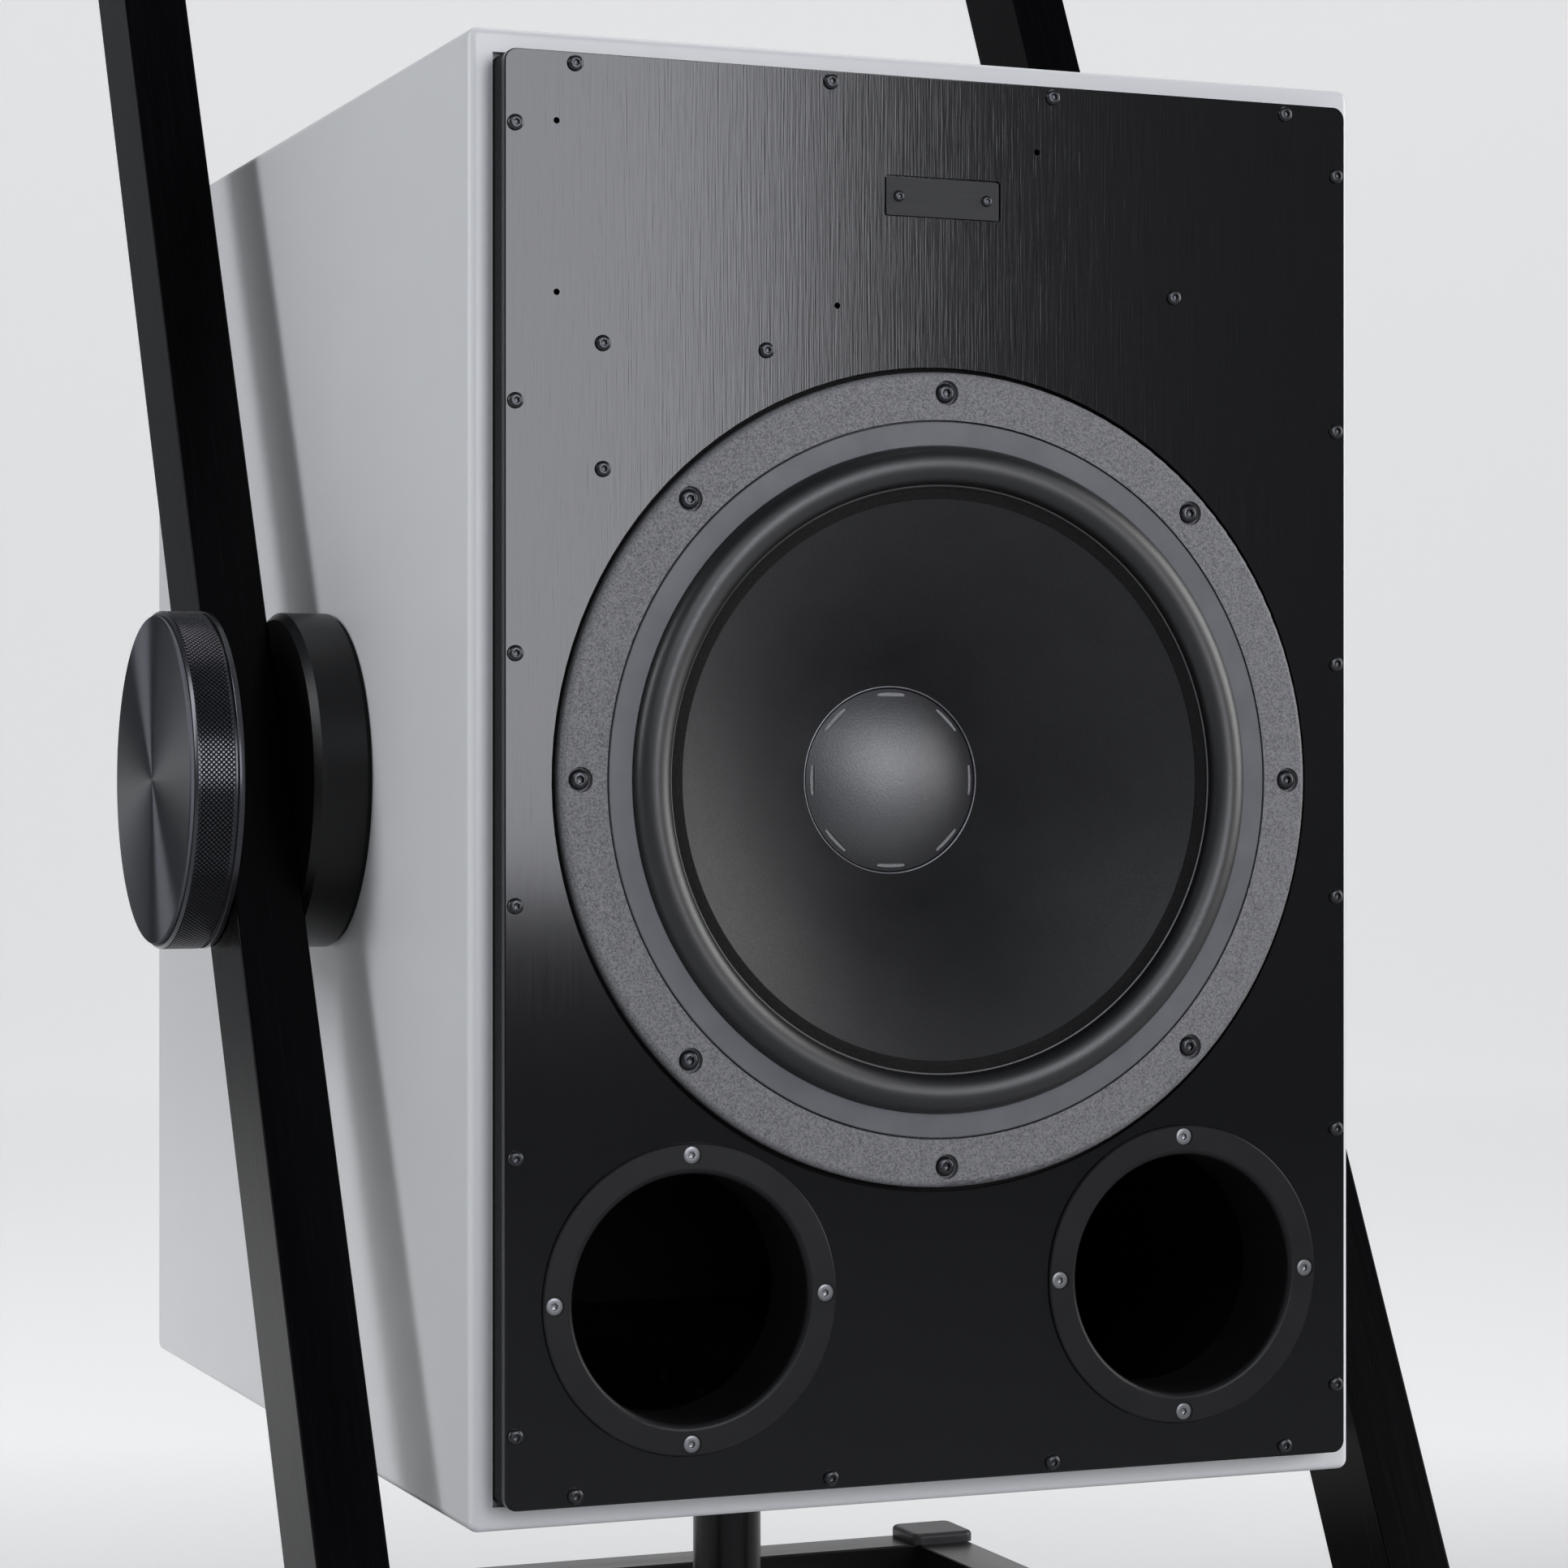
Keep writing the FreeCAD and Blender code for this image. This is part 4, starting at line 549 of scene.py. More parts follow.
# %% Finishes on the CAD parts
FINISHES = {
    "cabinet_lacquer": lacquer,
    "black_board": board_stain,
    "brushed_black_plate": plate_metal,
    "badge_metal": badge_metal,
    "black_screw": screw_black,
    "port_plastic": port_plastic,
    "grained_casting": casting_coat,
    "smooth_ring": ring_coat,
    "surround_rubber": surround_rubber,
    "gasket_foam": gasket_foam,
    "cone_fibre": cone_fibre,
    "cap_fibre": cap_fibre,
    "former_paper": former_cloth,
    "coil_copper": coil_copper,
    "plated_steel": plated_steel,
    "ferrite": ferrite,
    "dish_plastic": dish_plastic,
    "boss_metal": boss_metal,
    "stud_steel": stud_steel,
    "knurled_metal": knurled_metal,
    "spun_metal": spun_metal,
    "stand_metal": stand_metal,
    "cap_plastic": cap_plastic,
    "bush_bronze": bush_bronze,
    "foot_rubber": foot_rubber,
}
BRUSHED_ALONG = {
    "left_leg": leg_metal,
    "right_leg": leg_metal,
    "left_side_beam": side_beam_metal,
    "right_side_beam": side_beam_metal,
    "rear_beam": cross_beam_metal,
    "middle_beam": cross_beam_metal,
}
for name, node in nodes.items():
    for material_slot in node.material_slots:
        slot_name = material_slot.material.name.split(".")[0]
        material_slot.material = BRUSHED_ALONG.get(name) or FINISHES[slot_name]
print("dressed", len(nodes), "parts")

# %% [markdown]
# ## Screws
# Screws are one shape used many times, so one head is modelled for each kind, one head radius across, and a
# small Geometry Nodes tree puts a copy on every point. The tree turns each copy by a random amount from a
# fixed seed, because nobody lines up the sockets. The points come from the CAD screws themselves.

# %% Where the screws are
WELD = 1e-5
ScrewPlace = namedtuple("ScrewPlace", "x z width front back")


def screw_places(node):
    """The middle, the width and the front and back of each separate solid in a CAD node."""
    islands = bmesh.new()
    islands.from_mesh(nodes[node].data)
    bmesh.ops.remove_doubles(islands, verts=islands.verts, dist=WELD)
    places, left_over = [], set(islands.verts)
    while left_over:
        reached, edge = set(), [left_over.pop()]
        while edge:
            vertex = edge.pop()
            reached.add(vertex)
            near = {e.other_vert(vertex) for e in vertex.link_edges} - reached
            edge.extend(near & left_over)
            left_over -= near
        xs, ys, zs = zip(*(v.co for v in reached))
        middle_x, middle_z = (min(xs) + max(xs)) / 2, (min(zs) + max(zs)) / 2
        places.append(ScrewPlace(middle_x, middle_z, max(xs) - min(xs), min(ys), max(ys)))
    islands.free()
    return sorted(places)


for node in ("face_plate_screws", "driver_bolts", "badge_screws", "port_screws", "connector_screws"):
    print(node, len(screw_places(node)))

# %% [markdown]
# A head is round but its socket has six sides. A cylinder could be cut out with a boolean, which leaves
# untidy faces, so the head is built from rings instead: the outer rings are circles and the last ones are
# hexagons, with the same number of points round each. All sizes are in head radii.

# %% A screw head with a hexagonal socket
CHAMFER_OUT, CHAMFER_DEEP, DRILL_POINT = 1.06, 0.04, 0.1


def hexagon_radius(angle, corner):
    """How far the side of a hexagon is from its middle at an angle."""
    turned = (angle % math.radians(60)) - math.radians(30)
    return corner * math.cos(math.radians(30)) / math.cos(turned)


def screw_head(name, head, socket, depth, shank, length, segments=48):
    """A screw that looks towards -Y, with its top at 0. Head is (radius, depth) pairs from rim to crown."""
    profile = [(shank, length, False), (shank, head[0][1], False)] + [(r, y, False) for r, y in head]
    top = head[-1][1]
    profile += [(socket * CHAMFER_OUT, top, True), (socket, top + CHAMFER_DEEP, True), (socket, depth, True)]
    mesh_data = bmesh.new()
    rings = []
    for radius, y, is_hexagon in profile:
        ring = []
        for k in range(segments):
            angle = 2 * math.pi * k / segments
            out = hexagon_radius(angle, radius) if is_hexagon else radius
            ring.append(mesh_data.verts.new((out * math.cos(angle), y, out * math.sin(angle))))
        rings.append(ring)
    for lower, upper in zip(rings, rings[1:]):
        for k in range(segments):
            n = (k + 1) % segments
            mesh_data.faces.new((lower[k], lower[n], upper[n], upper[k]))
    for ring, y in ((rings[0], length), (rings[-1], depth + DRILL_POINT)):
        middle = mesh_data.verts.new((0, y, 0))
        for k in range(segments):
            mesh_data.faces.new((ring[k], ring[(k + 1) % segments], middle))
    bmesh.ops.recalc_face_normals(mesh_data, faces=mesh_data.faces)
    mesh = finished_mesh(name, mesh_data, 32)
    return bpy.data.objects.new(name, mesh)


print("screw head helper ready")

# %% [markdown]
# The face plate and the driver have button heads, which are low domes. The ports have flat heads, which sit
# flush, with only a small chamfer round the rim.

# %% Two kinds of head
def dome(height, rim, crown, steps=7):
    """The (radius, depth) pairs of a button head, from its seat to the flat round its socket."""
    pairs = [(1.0, height), (1.0, height - rim)]
    for step in range(1, steps + 1):
        angle = math.radians(90 * step / steps)
        pairs.append((crown + (1 - crown) * math.cos(angle), (height - rim) * (1 - math.sin(angle))))
    return pairs


SOCKET, SHANK, LENGTH = 0.44, 0.5, 3.0
button_profile = dome(height=0.58, rim=0.14, crown=0.50)
button_head = screw_head("button_head", button_profile, SOCKET, 0.46, SHANK, LENGTH)
flat_profile = [(0.60, 0.50), (1.0, 0.07), (0.985, 0.015), (0.95, 0.0), (0.60, 0.0)]
flat_head = screw_head("flat_head", flat_profile, SOCKET, 0.40, SHANK, LENGTH)
print("button head", len(button_head.data.polygons), "faces, flat head", len(flat_head.data.polygons))

# %% [markdown]
# The tree takes one point for each screw. It puts the head on each point at its real size, turns it by a
# random part of a sixth of a turn, and makes one plain mesh of all the copies.

# %% The tree that places screws
def name_inputs(tree, **kinds):
    """Gives a Geometry Nodes tree its named inputs. Kinds are socket types."""
    for name, kind in kinds.items():
        tree.interface.new_socket(name.replace("_", " "), in_out="INPUT", socket_type="NodeSocket" + kind)


def screw_tree():
    """Geometry Nodes: a turned copy of a screw on every point, realised and given its finish."""
    tree = bpy.data.node_groups.new("place_screws", "GeometryNodeTree")
    name_inputs(tree, Points="Geometry", Screw="Object", Head_radius="Float", Seed="Int", Finish="Material")
    tree.interface.new_socket("Screws", in_out="OUTPUT", socket_type="NodeSocketGeometry")
    start, end = tree.nodes.new("NodeGroupInput"), tree.nodes.new("NodeGroupOutput")
    chosen = tree.nodes.new("GeometryNodeObjectInfo")
    chosen.inputs["As Instance"].default_value = True
    turn = tree.nodes.new("FunctionNodeRandomValue")
    turn.data_type = "FLOAT_VECTOR"
    turn.inputs[0].default_value = (0, 0, 0)
    turn.inputs[1].default_value = (0, math.radians(60), 0)
    copies = tree.nodes.new("GeometryNodeInstanceOnPoints")
    whole = tree.nodes.new("GeometryNodeRealizeInstances")
    painted = tree.nodes.new("GeometryNodeSetMaterial")
    link = tree.links.new
    link(start.outputs["Screw"], chosen.inputs["Object"])
    link(start.outputs["Seed"], turn.inputs["Seed"])
    link(start.outputs["Points"], copies.inputs["Points"])
    link(chosen.outputs["Geometry"], copies.inputs["Instance"])
    link(turn.outputs[0], copies.inputs["Rotation"])
    link(start.outputs["Head radius"], copies.inputs["Scale"])
    link(copies.outputs["Instances"], whole.inputs["Geometry"])
    link(whole.outputs["Geometry"], painted.inputs["Geometry"])
    link(start.outputs["Finish"], painted.inputs["Material"])
    link(painted.outputs["Geometry"], end.inputs["Screws"])
    return tree


place_screws = screw_tree()
print("tree with", len(place_screws.nodes), "nodes")

# %% [markdown]
# A tree runs as a modifier on a carrier mesh. Its inputs are set by their identifiers before it first runs.
# The result is taken as a plain mesh, and the carrier is thrown away.

# %% Run a tree
def grown(base_mesh, tree, **inputs):
    """Runs a Geometry Nodes tree on a mesh and gives the plain mesh that it makes."""
    carrier = bpy.data.objects.new("carrier", base_mesh)
    bpy.context.scene.collection.objects.link(carrier)
    modifier = carrier.modifiers.new("grow", "NODES")
    modifier.node_group = tree
    for item in tree.interface.items_tree:
        if item.in_out == "INPUT" and item.name.replace(" ", "_") in inputs:
            modifier[item.identifier] = inputs[item.name.replace(" ", "_")]
    bpy.context.view_layer.update()
    ready = carrier.evaluated_get(bpy.context.evaluated_depsgraph_get())
    mesh = bpy.data.meshes.new_from_object(ready)
    bpy.data.objects.remove(carrier)
    return mesh


print("ready to run trees")

# %% [markdown]
# Every kind of screw has its own seed. The screws of the connector dish look backwards, so theirs are
# mirrored. A mirror turns a mesh inside out, so its normals are flipped back.

# %% Put the screws in
def add_screws(node, head, body, seed, finish, faces_back=False):
    """Replaces a CAD node of screws with turned heads of the same width."""
    places = screw_places(node)
    points = bpy.data.meshes.new(node + "_points")
    points.from_pydata([(p.x, p.back if faces_back else p.front, p.z) for p in places], [], [])
    radius = places[0].width / 2
    mesh = grown(points, place_screws, Screw=head, Head_radius=radius, Seed=seed, Finish=finish)
    if faces_back:
        middle = Vector((0, places[0].back, 0))
        mirror = Matrix.Scale(-1, 4, (0, 1, 0))
        mesh.transform(Matrix.Translation(middle) @ mirror @ Matrix.Translation(-middle))
        mesh.flip_normals()
    return add_piece(node + "_turned", mesh, body, finish, "black_screw", node)


add_screws("face_plate_screws", button_head, "cabinet", 3, screw_black)
add_screws("driver_bolts", button_head, "cabinet", 5, screw_black)
add_screws("badge_screws", button_head, "cabinet", 7, screw_black)
add_screws("port_screws", flat_head, "cabinet", 11, screw_grey)
add_screws("connector_screws", button_head, "cabinet", 13, screw_black, faces_back=True)

# %% [markdown]
# ## Rubber surround
# The surround is a half roll of rubber between the fixed ring and the moving cone. Its outer flank stays with
# the cabinet and its inner flank follows the cone, so it is made as two turned skins that meet on the crest.
# The outer one rides on the cabinet. The inner one is put in place on its own, on no body.

# %% Surround sizes
CREST_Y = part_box("surround")[0].y
ROLL_HEIGHT = 8.5 * MM
ROLL_CREST = CREST_Y - FACE_Y
ROLL_FOOT = ROLL_CREST + ROLL_HEIGHT
ROLL_OUTER, ROLL_INNER, LIP_INNER = 159.5 * MM, 141.0 * MM, 140.0 * MM
LIP_ROUND = 0.3 * MM
RUBBER = 1.2 * MM
LIP_BACK = ROLL_FOOT + RUBBER - 0.01 * MM
ROLL_MIDDLE = (ROLL_OUTER + ROLL_INNER) / 2
HALF_ROLL = (ROLL_OUTER - ROLL_INNER) / 2
QUARTER = [0, 8, 16, 24, 32, 40, 48, 56, 64, 72, 80, 86, 89.5, 90]
print("surround crest", round(ROLL_CREST / MM, 2), "foot", round(ROLL_FOOT / MM, 2), "mm from the face plate")

# %% [markdown]
# Each skin is a closed strip: out along the top of the rubber and back along its underside. The steps get
# smaller near the crest, where the two skins meet and the light is brightest.

# %% Surround skins
ROLL_SEGMENTS = 256


def roll_quarter(side, thinner):
    """(radius, depth) pairs of a quarter of the roll, from its foot to its crest."""
    across, high = HALF_ROLL - thinner, ROLL_HEIGHT - thinner
    pairs = []
    for degrees in QUARTER:
        angle = math.radians(degrees)
        pairs.append((ROLL_MIDDLE + side * across * math.cos(angle), ROLL_FOOT - high * math.sin(angle)))
    return pairs


outer_skin = roll_quarter(1, 0) + roll_quarter(1, RUBBER)[::-1]
lip = [(LIP_INNER + LIP_ROUND, ROLL_FOOT), (LIP_INNER, ROLL_FOOT + LIP_ROUND)]
lip += [(LIP_INNER, LIP_BACK), (ROLL_INNER, LIP_BACK)]
inner_skin = roll_quarter(-1, 0)[::-1] + lip + roll_quarter(-1, RUBBER)
outer_mesh = lathe("surround_outer", outer_skin, ROLL_SEGMENTS, "Y", face_centre, closed=True, sharp=50)
inner_mesh = lathe("surround_inner", inner_skin, ROLL_SEGMENTS, "Y", face_centre, closed=True, sharp=50)
add_piece("surround_outer", outer_mesh, "cabinet", surround_rubber, "surround_rubber", "surround")
inner_roll = bpy.data.objects.new("surround_inner", inner_mesh)
bpy.context.scene.collection.objects.link(inner_roll)
inner_mesh.materials.append(surround_rubber)
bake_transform(inner_roll)
print("surround_inner", len(inner_mesh.polygons), "faces, blended from the cabinet to the cone")

# %% [markdown]
# The roll ends in a short lip that is glued on the cone's edge. The glue is left showing as a flat dark ring
# just inside the lip, thinner towards the cone. It is turned like the roll and moves with the cone.

# %% Glue on the cone's edge
GLUE_INNER, GLUE_OUTER = 134.4 * MM, 140.4 * MM
GLUE_THICK, GLUE_THIN, GLUE_EDGE = 0.5 * MM, 0.45 * MM, 0.1 * MM
GLUE_SLOPE, GLUE_SUNK = 0.8 * MM, 0.3 * MM
glue_back = ROLL_FOOT + RUBBER
glue_ring = [
    (GLUE_OUTER, glue_back),
    (GLUE_OUTER, glue_back - GLUE_THICK),
    (GLUE_INNER + GLUE_SLOPE, glue_back - GLUE_THIN),
    (GLUE_INNER, glue_back - GLUE_EDGE),
    (GLUE_INNER, glue_back + GLUE_SUNK),
]
glue_mesh = lathe("cone_edge_glue", glue_ring, ROUND, "Y", face_centre, closed=True, sharp=60)
add_piece("cone_edge_glue", glue_mesh, "cone", gasket_foam, "surround_rubber")

# %% [markdown]
# ## Dust cap bead
# The dust cap's edge is finished with a thin bead, which catches a bright line all the way round. It is a
# small ring with a round section, just outside the cap, and it moves with the cone.

# %% Dust cap bead
cap_low, cap_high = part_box("dust_cap")
BEAD_THICK = 0.55 * MM
BEAD_CLEAR = 1.1 * MM
BEAD_RADIUS = (cap_high.x - cap_low.x) / 2 + BEAD_CLEAR
BEAD_DEPTH = cap_high.y - FACE_Y - BEAD_CLEAR
BEAD_STEPS = 10
bead_section = []
for step in range(BEAD_STEPS):
    angle = 2 * math.pi * step / BEAD_STEPS
    across, along = BEAD_THICK * math.cos(angle), BEAD_THICK * math.sin(angle)
    bead_section.append((BEAD_RADIUS + across, BEAD_DEPTH + along))
bead_mesh = lathe("dust_cap_bead", bead_section, ROUND, "Y", face_centre, closed=True, sharp=60)
add_piece("dust_cap_bead", bead_mesh, "cone", bead_metal, "cap_fibre")

# %% [markdown]
# ## Knurled grips
# Each clamp knob is a turned grip with a rim, a groove, a knurled band and a bright shoulder. A knurl is a
# cross-hatch that a wheel presses in, which leaves thousands of small diamonds. Geometry Nodes lay a sheet of
# points round the band, one for each diamond, and shift every other row by half a tooth.

# %% Where the teeth go
def tooth_places(tree, start, sheet_place):
    """The place of each tooth. Its row sets its place along X, and its column its angle about X."""
    parts = tree.nodes.new("ShaderNodeSeparateXYZ")
    tree.links.new(sheet_place, parts.inputs[0])
    last_tooth = maths(tree, "SUBTRACT", start.outputs["Teeth"], 1)
    last_row = maths(tree, "SUBTRACT", start.outputs["Rows"], 1)
    tooth = maths(tree, "MULTIPLY", maths(tree, "ADD", parts.outputs[0], 0.5), last_tooth)
    row = maths(tree, "ROUND", maths(tree, "MULTIPLY", maths(tree, "ADD", parts.outputs[1], 0.5), last_row))
    stagger = maths(tree, "MULTIPLY", maths(tree, "MODULO", row, 2), 0.5)
    turns = maths(tree, "DIVIDE", maths(tree, "ADD", tooth, stagger), start.outputs["Teeth"])
    angle = maths(tree, "MULTIPLY", turns, 2 * math.pi)
    half_size = maths(tree, "MULTIPLY", start.outputs["Tooth size"], 0.5)
    middle_row = maths(tree, "MULTIPLY", last_row, 0.5)
    along = maths(tree, "MULTIPLY", maths(tree, "SUBTRACT", row, middle_row), half_size)
    spot = tree.nodes.new("ShaderNodeCombineXYZ")
    tree.links.new(along, spot.inputs[0])
    for number, wave in ((1, "COSINE"), (2, "SINE")):
        out = maths(tree, "MULTIPLY", maths(tree, wave, angle), start.outputs["Radius"])
        tree.links.new(out, spot.inputs[number])
    return spot.outputs[0]


print("tooth places ready")

# %% [markdown]
# A tooth is a pyramid with four sides and a flat top, and its corners point along the band and across it. It
# stands upright because its Z axis is turned to point away from the knob's axis.

# %% One tooth
TOOTH_TOP = 0.30


def tooth_shape(tree, start):
    """A flat-topped pyramid of the tooth's size and height."""
    pyramid = tree.nodes.new("GeometryNodeMeshCone")
    pyramid.inputs["Vertices"].default_value = 4
    top = maths(tree, "MULTIPLY", start.outputs["Tooth size"], TOOTH_TOP)
    foot = maths(tree, "MULTIPLY", start.outputs["Tooth size"], 0.5)
    tree.links.new(top, pyramid.inputs["Radius Top"])
    tree.links.new(foot, pyramid.inputs["Radius Bottom"])
    tree.links.new(start.outputs["Tooth height"], pyramid.inputs["Depth"])
    return pyramid.outputs["Mesh"]


def tooth_turn(tree, place):
    """The rotation that points a tooth's Z axis away from the X axis."""
    outward = vector_maths(tree, "MULTIPLY", place, (0, 1, 1))
    upright = tree.nodes.new("FunctionNodeAlignRotationToVector")
    upright.axis = "Z"
    upright.pivot_axis = "X"
    tree.links.new(outward, upright.inputs["Vector"])
    return upright.outputs[0]


print("tooth ready")

# %% [markdown]
# The tree sets the teeth on the band, joins them to the turned body and makes one plain mesh of it all.

# %% The knurling tree
def knurl_tree():
    """Geometry Nodes: teeth in staggered rows round a band about the X axis, joined to the turned body."""
    tree = bpy.data.node_groups.new("knurl_band", "GeometryNodeTree")
    name_inputs(tree, Body="Geometry", Radius="Float", Tooth_size="Float", Tooth_height="Float",
                Teeth="Int", Rows="Int", Centre="Vector", Finish="Material")
    tree.interface.new_socket("Grip", in_out="OUTPUT", socket_type="NodeSocketGeometry")
    start, end = tree.nodes.new("NodeGroupInput"), tree.nodes.new("NodeGroupOutput")
    link = tree.links.new
    sheet = tree.nodes.new("GeometryNodeMeshGrid")
    place = tree.nodes.new("GeometryNodeInputPosition")
    wrapped = tree.nodes.new("GeometryNodeSetPosition")
    copies = tree.nodes.new("GeometryNodeInstanceOnPoints")
    moved = tree.nodes.new("GeometryNodeTransform")
    joined = tree.nodes.new("GeometryNodeJoinGeometry")
    whole = tree.nodes.new("GeometryNodeRealizeInstances")
    painted = tree.nodes.new("GeometryNodeSetMaterial")
    link(start.outputs["Teeth"], sheet.inputs["Vertices X"])
    link(start.outputs["Rows"], sheet.inputs["Vertices Y"])
    link(sheet.outputs["Mesh"], wrapped.inputs["Geometry"])
    link(tooth_places(tree, start, place.outputs[0]), wrapped.inputs["Position"])
    link(wrapped.outputs["Geometry"], copies.inputs["Points"])
    link(tooth_shape(tree, start), copies.inputs["Instance"])
    link(tooth_turn(tree, place.outputs[0]), copies.inputs["Rotation"])
    link(copies.outputs["Instances"], moved.inputs["Geometry"])
    link(start.outputs["Centre"], moved.inputs["Translation"])
    link(start.outputs["Body"], joined.inputs["Geometry"])
    link(moved.outputs["Geometry"], joined.inputs["Geometry"])
    link(joined.outputs["Geometry"], whole.inputs["Geometry"])
    link(whole.outputs["Geometry"], painted.inputs["Geometry"])
    link(start.outputs["Finish"], painted.inputs["Material"])
    link(painted.outputs["Geometry"], end.inputs["Grip"])
    return tree


knurl_band = knurl_tree()
print("knurling tree with", len(knurl_band.nodes), "nodes")

# %% [markdown]
# The body of a grip is turned on the lathe about the pivot's axis, from its inner face outwards. The teeth
# stand in a shallow valley between the groove and the shoulder, so their tops are level with the rim.

# %% Turn the grips
TEETH, ROWS = 216, 14
TOOTH_HEIGHT, TOOTH_SUNK = 0.75 * MM, 0.02 * MM
KNURL_START, KNURL_WIDTH = 4.5 * MM, 19.0 * MM
KNURL_END = KNURL_START + KNURL_WIDTH
RIM_WIDTH, RIM_ROUND, RIM_SOFT = 3.0 * MM, 1.0 * MM, 0.3 * MM
GROOVE_DEEP = 2 * MM
SHOULDER_LONG, SHOULDER_DROP = 1.4 * MM, 1.5 * MM
EDGE = 0.1 * MM


def grip_outline(hole, radius):
    """(radius, depth) pairs of a grip: rim, groove, knurled valley and shoulder."""
    valley = radius - TOOTH_HEIGHT
    return [
        (hole, 0), (radius - RIM_ROUND, 0), (radius - RIM_SOFT, RIM_SOFT), (radius, RIM_ROUND),
        (radius, RIM_WIDTH - 2 * EDGE), (radius - 2 * EDGE, RIM_WIDTH), (radius - GROOVE_DEEP, RIM_WIDTH),
        (radius - GROOVE_DEEP, KNURL_START), (valley - EDGE, KNURL_START), (valley, KNURL_START + 2 * EDGE),
        (valley, KNURL_END - EDGE), (radius - EDGE, KNURL_END),
        (radius - SHOULDER_DROP + 2 * EDGE, KNURL_END + SHOULDER_LONG - 1.5 * EDGE),
        (radius - SHOULDER_DROP, KNURL_END + SHOULDER_LONG), (hole, KNURL_END + SHOULDER_LONG),
    ]


def add_grip(side, sign):
    """Turns the grip of one knob, knurls it, and puts it in place of the plain CAD grip."""
    low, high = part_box(side + "_knob_grip")
    core_low, core_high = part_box(side + "_knob_core")
    radius, hole = (high.z - low.z) / 2, (core_high.z - core_low.z) / 2
    centre = Vector((low.x if sign > 0 else high.x, PIVOT.y, PIVOT.z))
    outline = [(r, sign * x) for r, x in grip_outline(hole, radius)]
    body = lathe(side + "_grip", outline, ROUND, "X", centre, closed=True, sharp=30)
    middle = centre + Vector((sign * (KNURL_START + KNURL_WIDTH / 2), 0, 0))
    mesh = grown(body, knurl_band, Radius=radius - TOOTH_HEIGHT - TOOTH_SUNK, Centre=middle,
                 Tooth_size=2 * math.pi * radius / TEETH, Tooth_height=TOOTH_HEIGHT,
                 Teeth=TEETH, Rows=ROWS, Finish=knurled_metal)
    return add_piece(side + "_knurled_grip", mesh, side + "_knob", knurled_metal, "knurled_metal",
                     side + "_knob_grip")


for side, sign in (("left", -1), ("right", 1)):
    add_grip(side, sign)

# %% [markdown]
# ## Studio
# The speaker stands on a pale round floor whose edge curves up into a wall. The wall glows behind the speaker
# and is dim in front of it, so black parts have something dark to mirror. A World colour would light all
# sides alike, so the glow is painted on the wall itself, in a band along the camera's line of sight.

# %% Sweep paper
SWEEP_DIM, SWEEP_GLOW = 0.02, 0.52
GLOW_FULL, GLOW_NONE = 2.3, 3.8
GLOW_FRONT, GLOW_BACK = -0.4, 1.2


def make_sweep_paper():
    """Pale paper that glows behind the speaker and fades out to the sides and to the front."""
    paper = new_finish("sweep_paper", (0.78, 0.78, 0.78), 0.9, Specular_IOR_Level=0.1)
    tree = paper.node_tree
    place = tree.nodes.new("ShaderNodeSeparateXYZ")
    tree.links.new(object_coordinates(tree, turn=(0, 0, CAMERA_TURN)), place.inputs[0])
    aside = maths(tree, "ABSOLUTE", place.outputs["X"])
    band = ranged(tree, aside, 1.0, 0.0, GLOW_FULL, GLOW_NONE)
    behind = ranged(tree, place.outputs["Y"], 0.0, 1.0, GLOW_FRONT, GLOW_BACK)
    glow = maths(tree, "MULTIPLY", band, behind)
    drive(paper, "Emission Strength", ranged(tree, glow, SWEEP_DIM, SWEEP_GLOW, 0.0, 1.0))
    tree.nodes["shader"].inputs["Emission Color"].default_value = (1, 1, 1, 1)
    return paper


sweep_paper = make_sweep_paper()
print("made", sweep_paper.name)

# %% [markdown]
# The sweep itself is one more turned shape: a flat floor, a quarter circle and an upright wall.

# %% Studio sweep
SWEEP_RADIUS, SWEEP_COVE, SWEEP_HEIGHT, COVE_STEPS = 8.0, 2.5, 7.0, 16


def make_sweep():
    """A round floor that curves up into a round wall."""
    profile = [(0.0, 0.0), (SWEEP_RADIUS - SWEEP_COVE, 0.0)]
    for step in range(1, COVE_STEPS + 1):
        angle = math.radians(90 * step / COVE_STEPS)
        out = SWEEP_RADIUS - SWEEP_COVE + SWEEP_COVE * math.sin(angle)
        profile.append((out, SWEEP_COVE - SWEEP_COVE * math.cos(angle)))
    profile.append((SWEEP_RADIUS, SWEEP_HEIGHT))
    mesh = lathe("sweep", profile, 96, "Z", Vector((0, 0, 0)))
    mesh.flip_normals()
    sweep = bpy.data.objects.new("sweep", mesh)
    bpy.context.scene.collection.objects.link(sweep)
    mesh.materials.append(sweep_paper)
    return sweep


sweep = make_sweep()
print("sweep", len(sweep.data.polygons), "faces")

# %% [markdown]
# ## Lights
# A tall key softbox to the front right lays the sheen on the left of the face plate. Four more, to the right,
# to the left, near the camera and above, light the rest softly. A softbox is an area light, and its strength
# is given as the brightness that a mirror would show, so that a change of size doesn't change it.

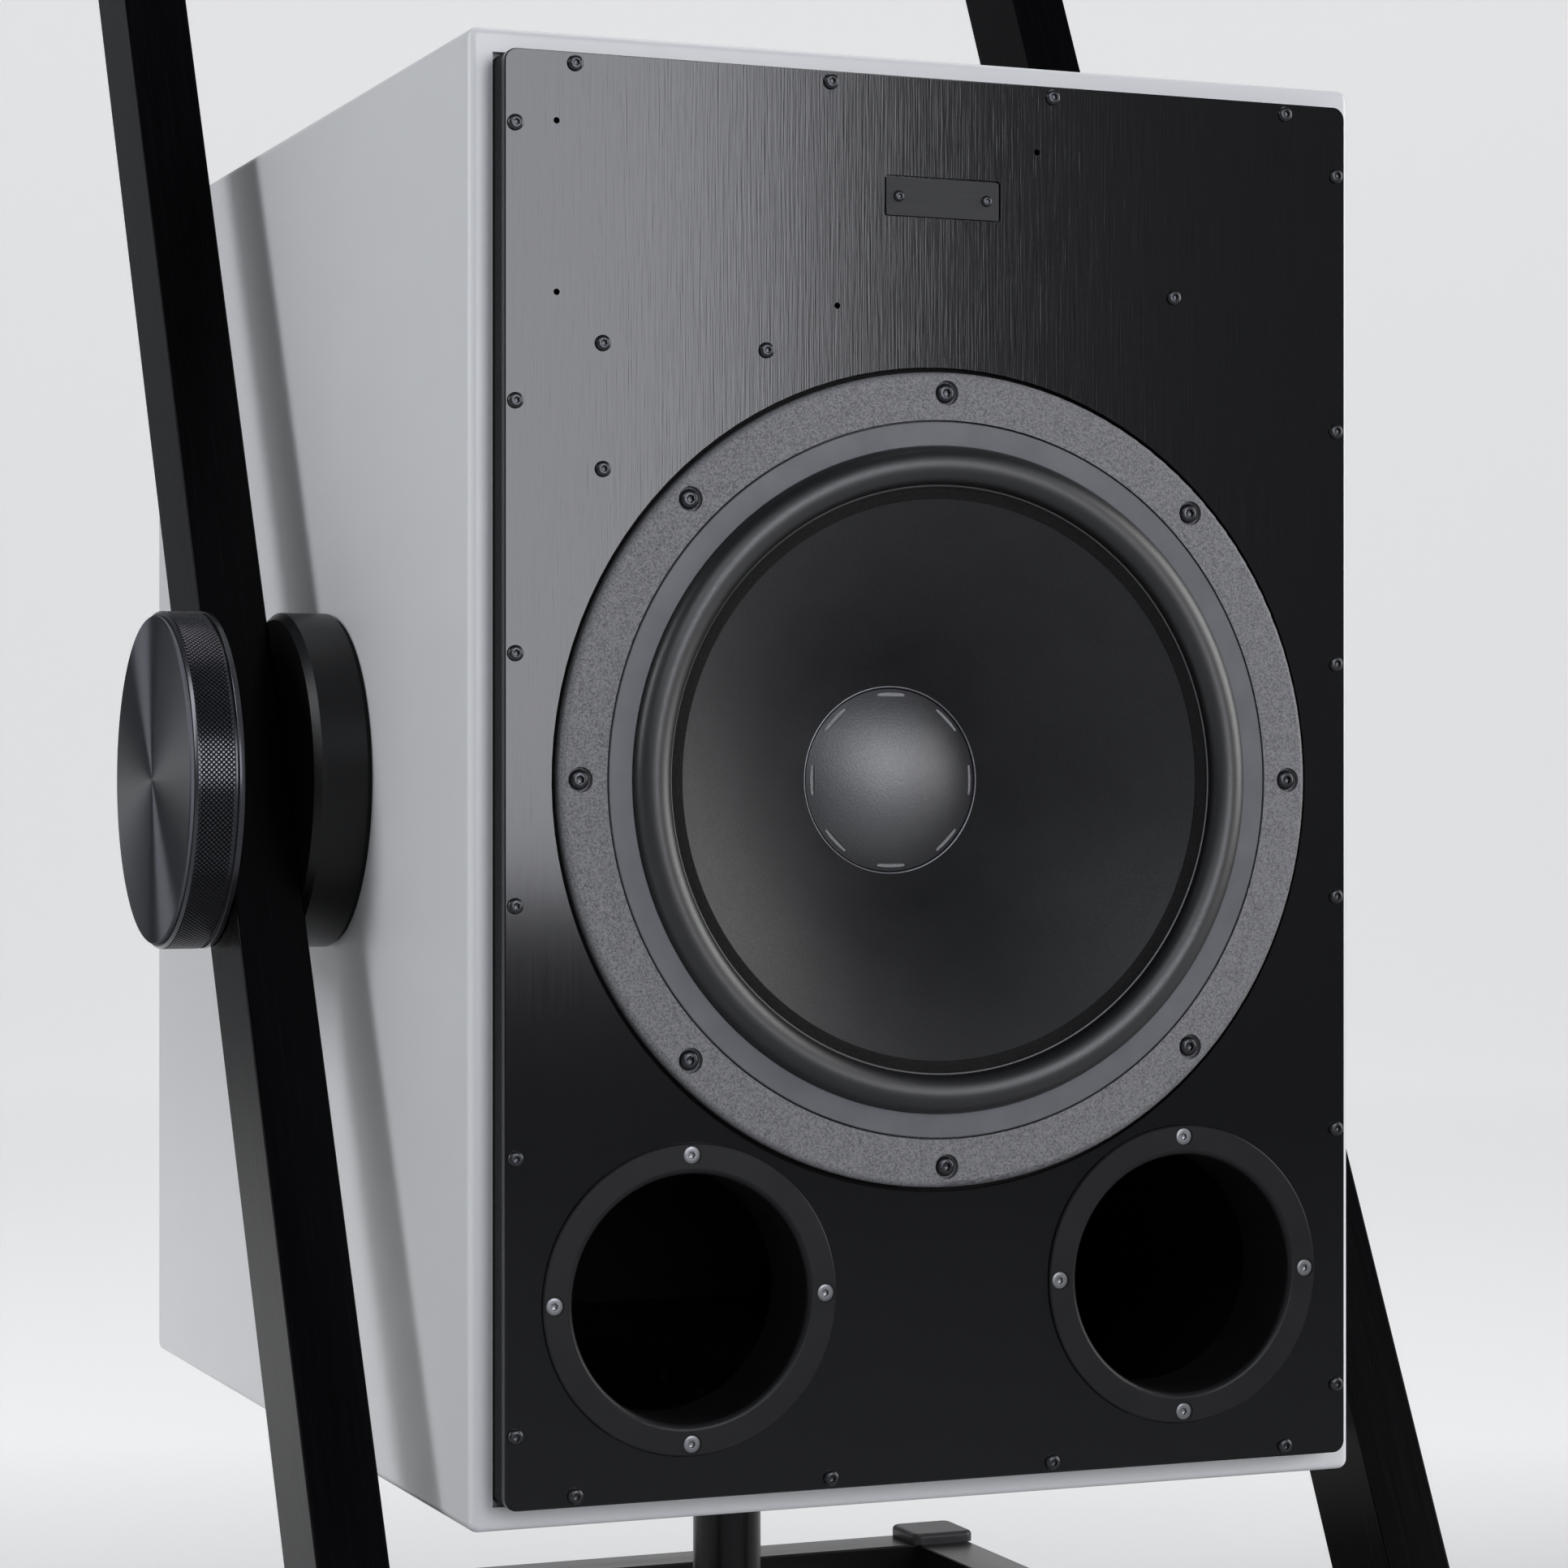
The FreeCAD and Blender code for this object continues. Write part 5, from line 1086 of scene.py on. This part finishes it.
# %% Studio lights
def softbox(name, place, target, width, height, brightness, tint=(1, 1, 1)):
    """A rectangular light that looks at its target and isn't visible itself."""
    data = bpy.data.lights.new(name, "AREA")
    data.shape = "RECTANGLE"
    data.size = width
    data.size_y = height
    data.energy = brightness * math.pi * width * height
    data.color = tint
    lamp = bpy.data.objects.new(name, data)
    lamp.visible_camera = False
    lamp.location = place
    lamp.rotation_euler = (Vector(target) - Vector(place)).to_track_quat("-Z", "Y").to_euler()
    bpy.context.scene.collection.objects.link(lamp)
    return lamp


KEY_PLACE = face_centre + Vector((0.79, -3.42, 0.80))
KEY_TARGET = KEY_PLACE + Vector((0, 3, 0))
SOFTBOXES = {
    "key_softbox": (KEY_PLACE, KEY_TARGET, 1.08, 1.90, 6.6, (0.92, 0.93, 1.0)),
    "right_softbox": ((3.6, -1.5, 1.5), (0, -0.2, 0.6), 2.4, 2.4, 4.2),
    "left_softbox": ((-3.3, 0.1, 1.9), (-0.2, 0.0, 0.65), 1.0, 1.8, 7.4, (0.95, 0.97, 1.0)),
    "fill_softbox": ((-1.2, -3.4, 2.3), (0, -0.3, 0.6), 1.2, 1.2, 3.2, (0.9, 0.95, 1.0)),
    "top_softbox": ((0.4, 0.8, 3.4), (0.2, 0.3, 0), 2.0, 2.0, 1.9),
}
lamps = {name: softbox(name, *settings) for name, settings in SOFTBOXES.items()}
print("lit by", ", ".join(lamps))

# %% [markdown]
# What no softbox reaches gets a trace of cool light from the World, so no shadow is quite black.

# %% Ambient light
AMBIENT_COLOUR, AMBIENT_STRENGTH = (0.6, 0.72, 1.0, 1), 0.06
world = bpy.data.worlds.new("studio")
world.use_nodes = True
background = world.node_tree.nodes["Background"]
background.inputs["Color"].default_value = AMBIENT_COLOUR
background.inputs["Strength"].default_value = AMBIENT_STRENGTH
bpy.context.scene.world = world
print("ambient strength", AMBIENT_STRENGTH)

# %% [markdown]
# The key and the right softbox would leave bright patches on the floor. In a studio a black card in front of
# the lamp keeps them off, and here light linking does: a collection that only leaves out the sweep.

# %% Keep two softboxes off the floor
flagged = bpy.data.collections.new("flagged_floor")
flagged.objects.link(sweep)
flagged.collection_objects[0].light_linking.link_state = "EXCLUDE"
for name in ("key_softbox", "right_softbox"):
    lamps[name].light_linking.receiver_collection = flagged
    print("floor flagged from", name)
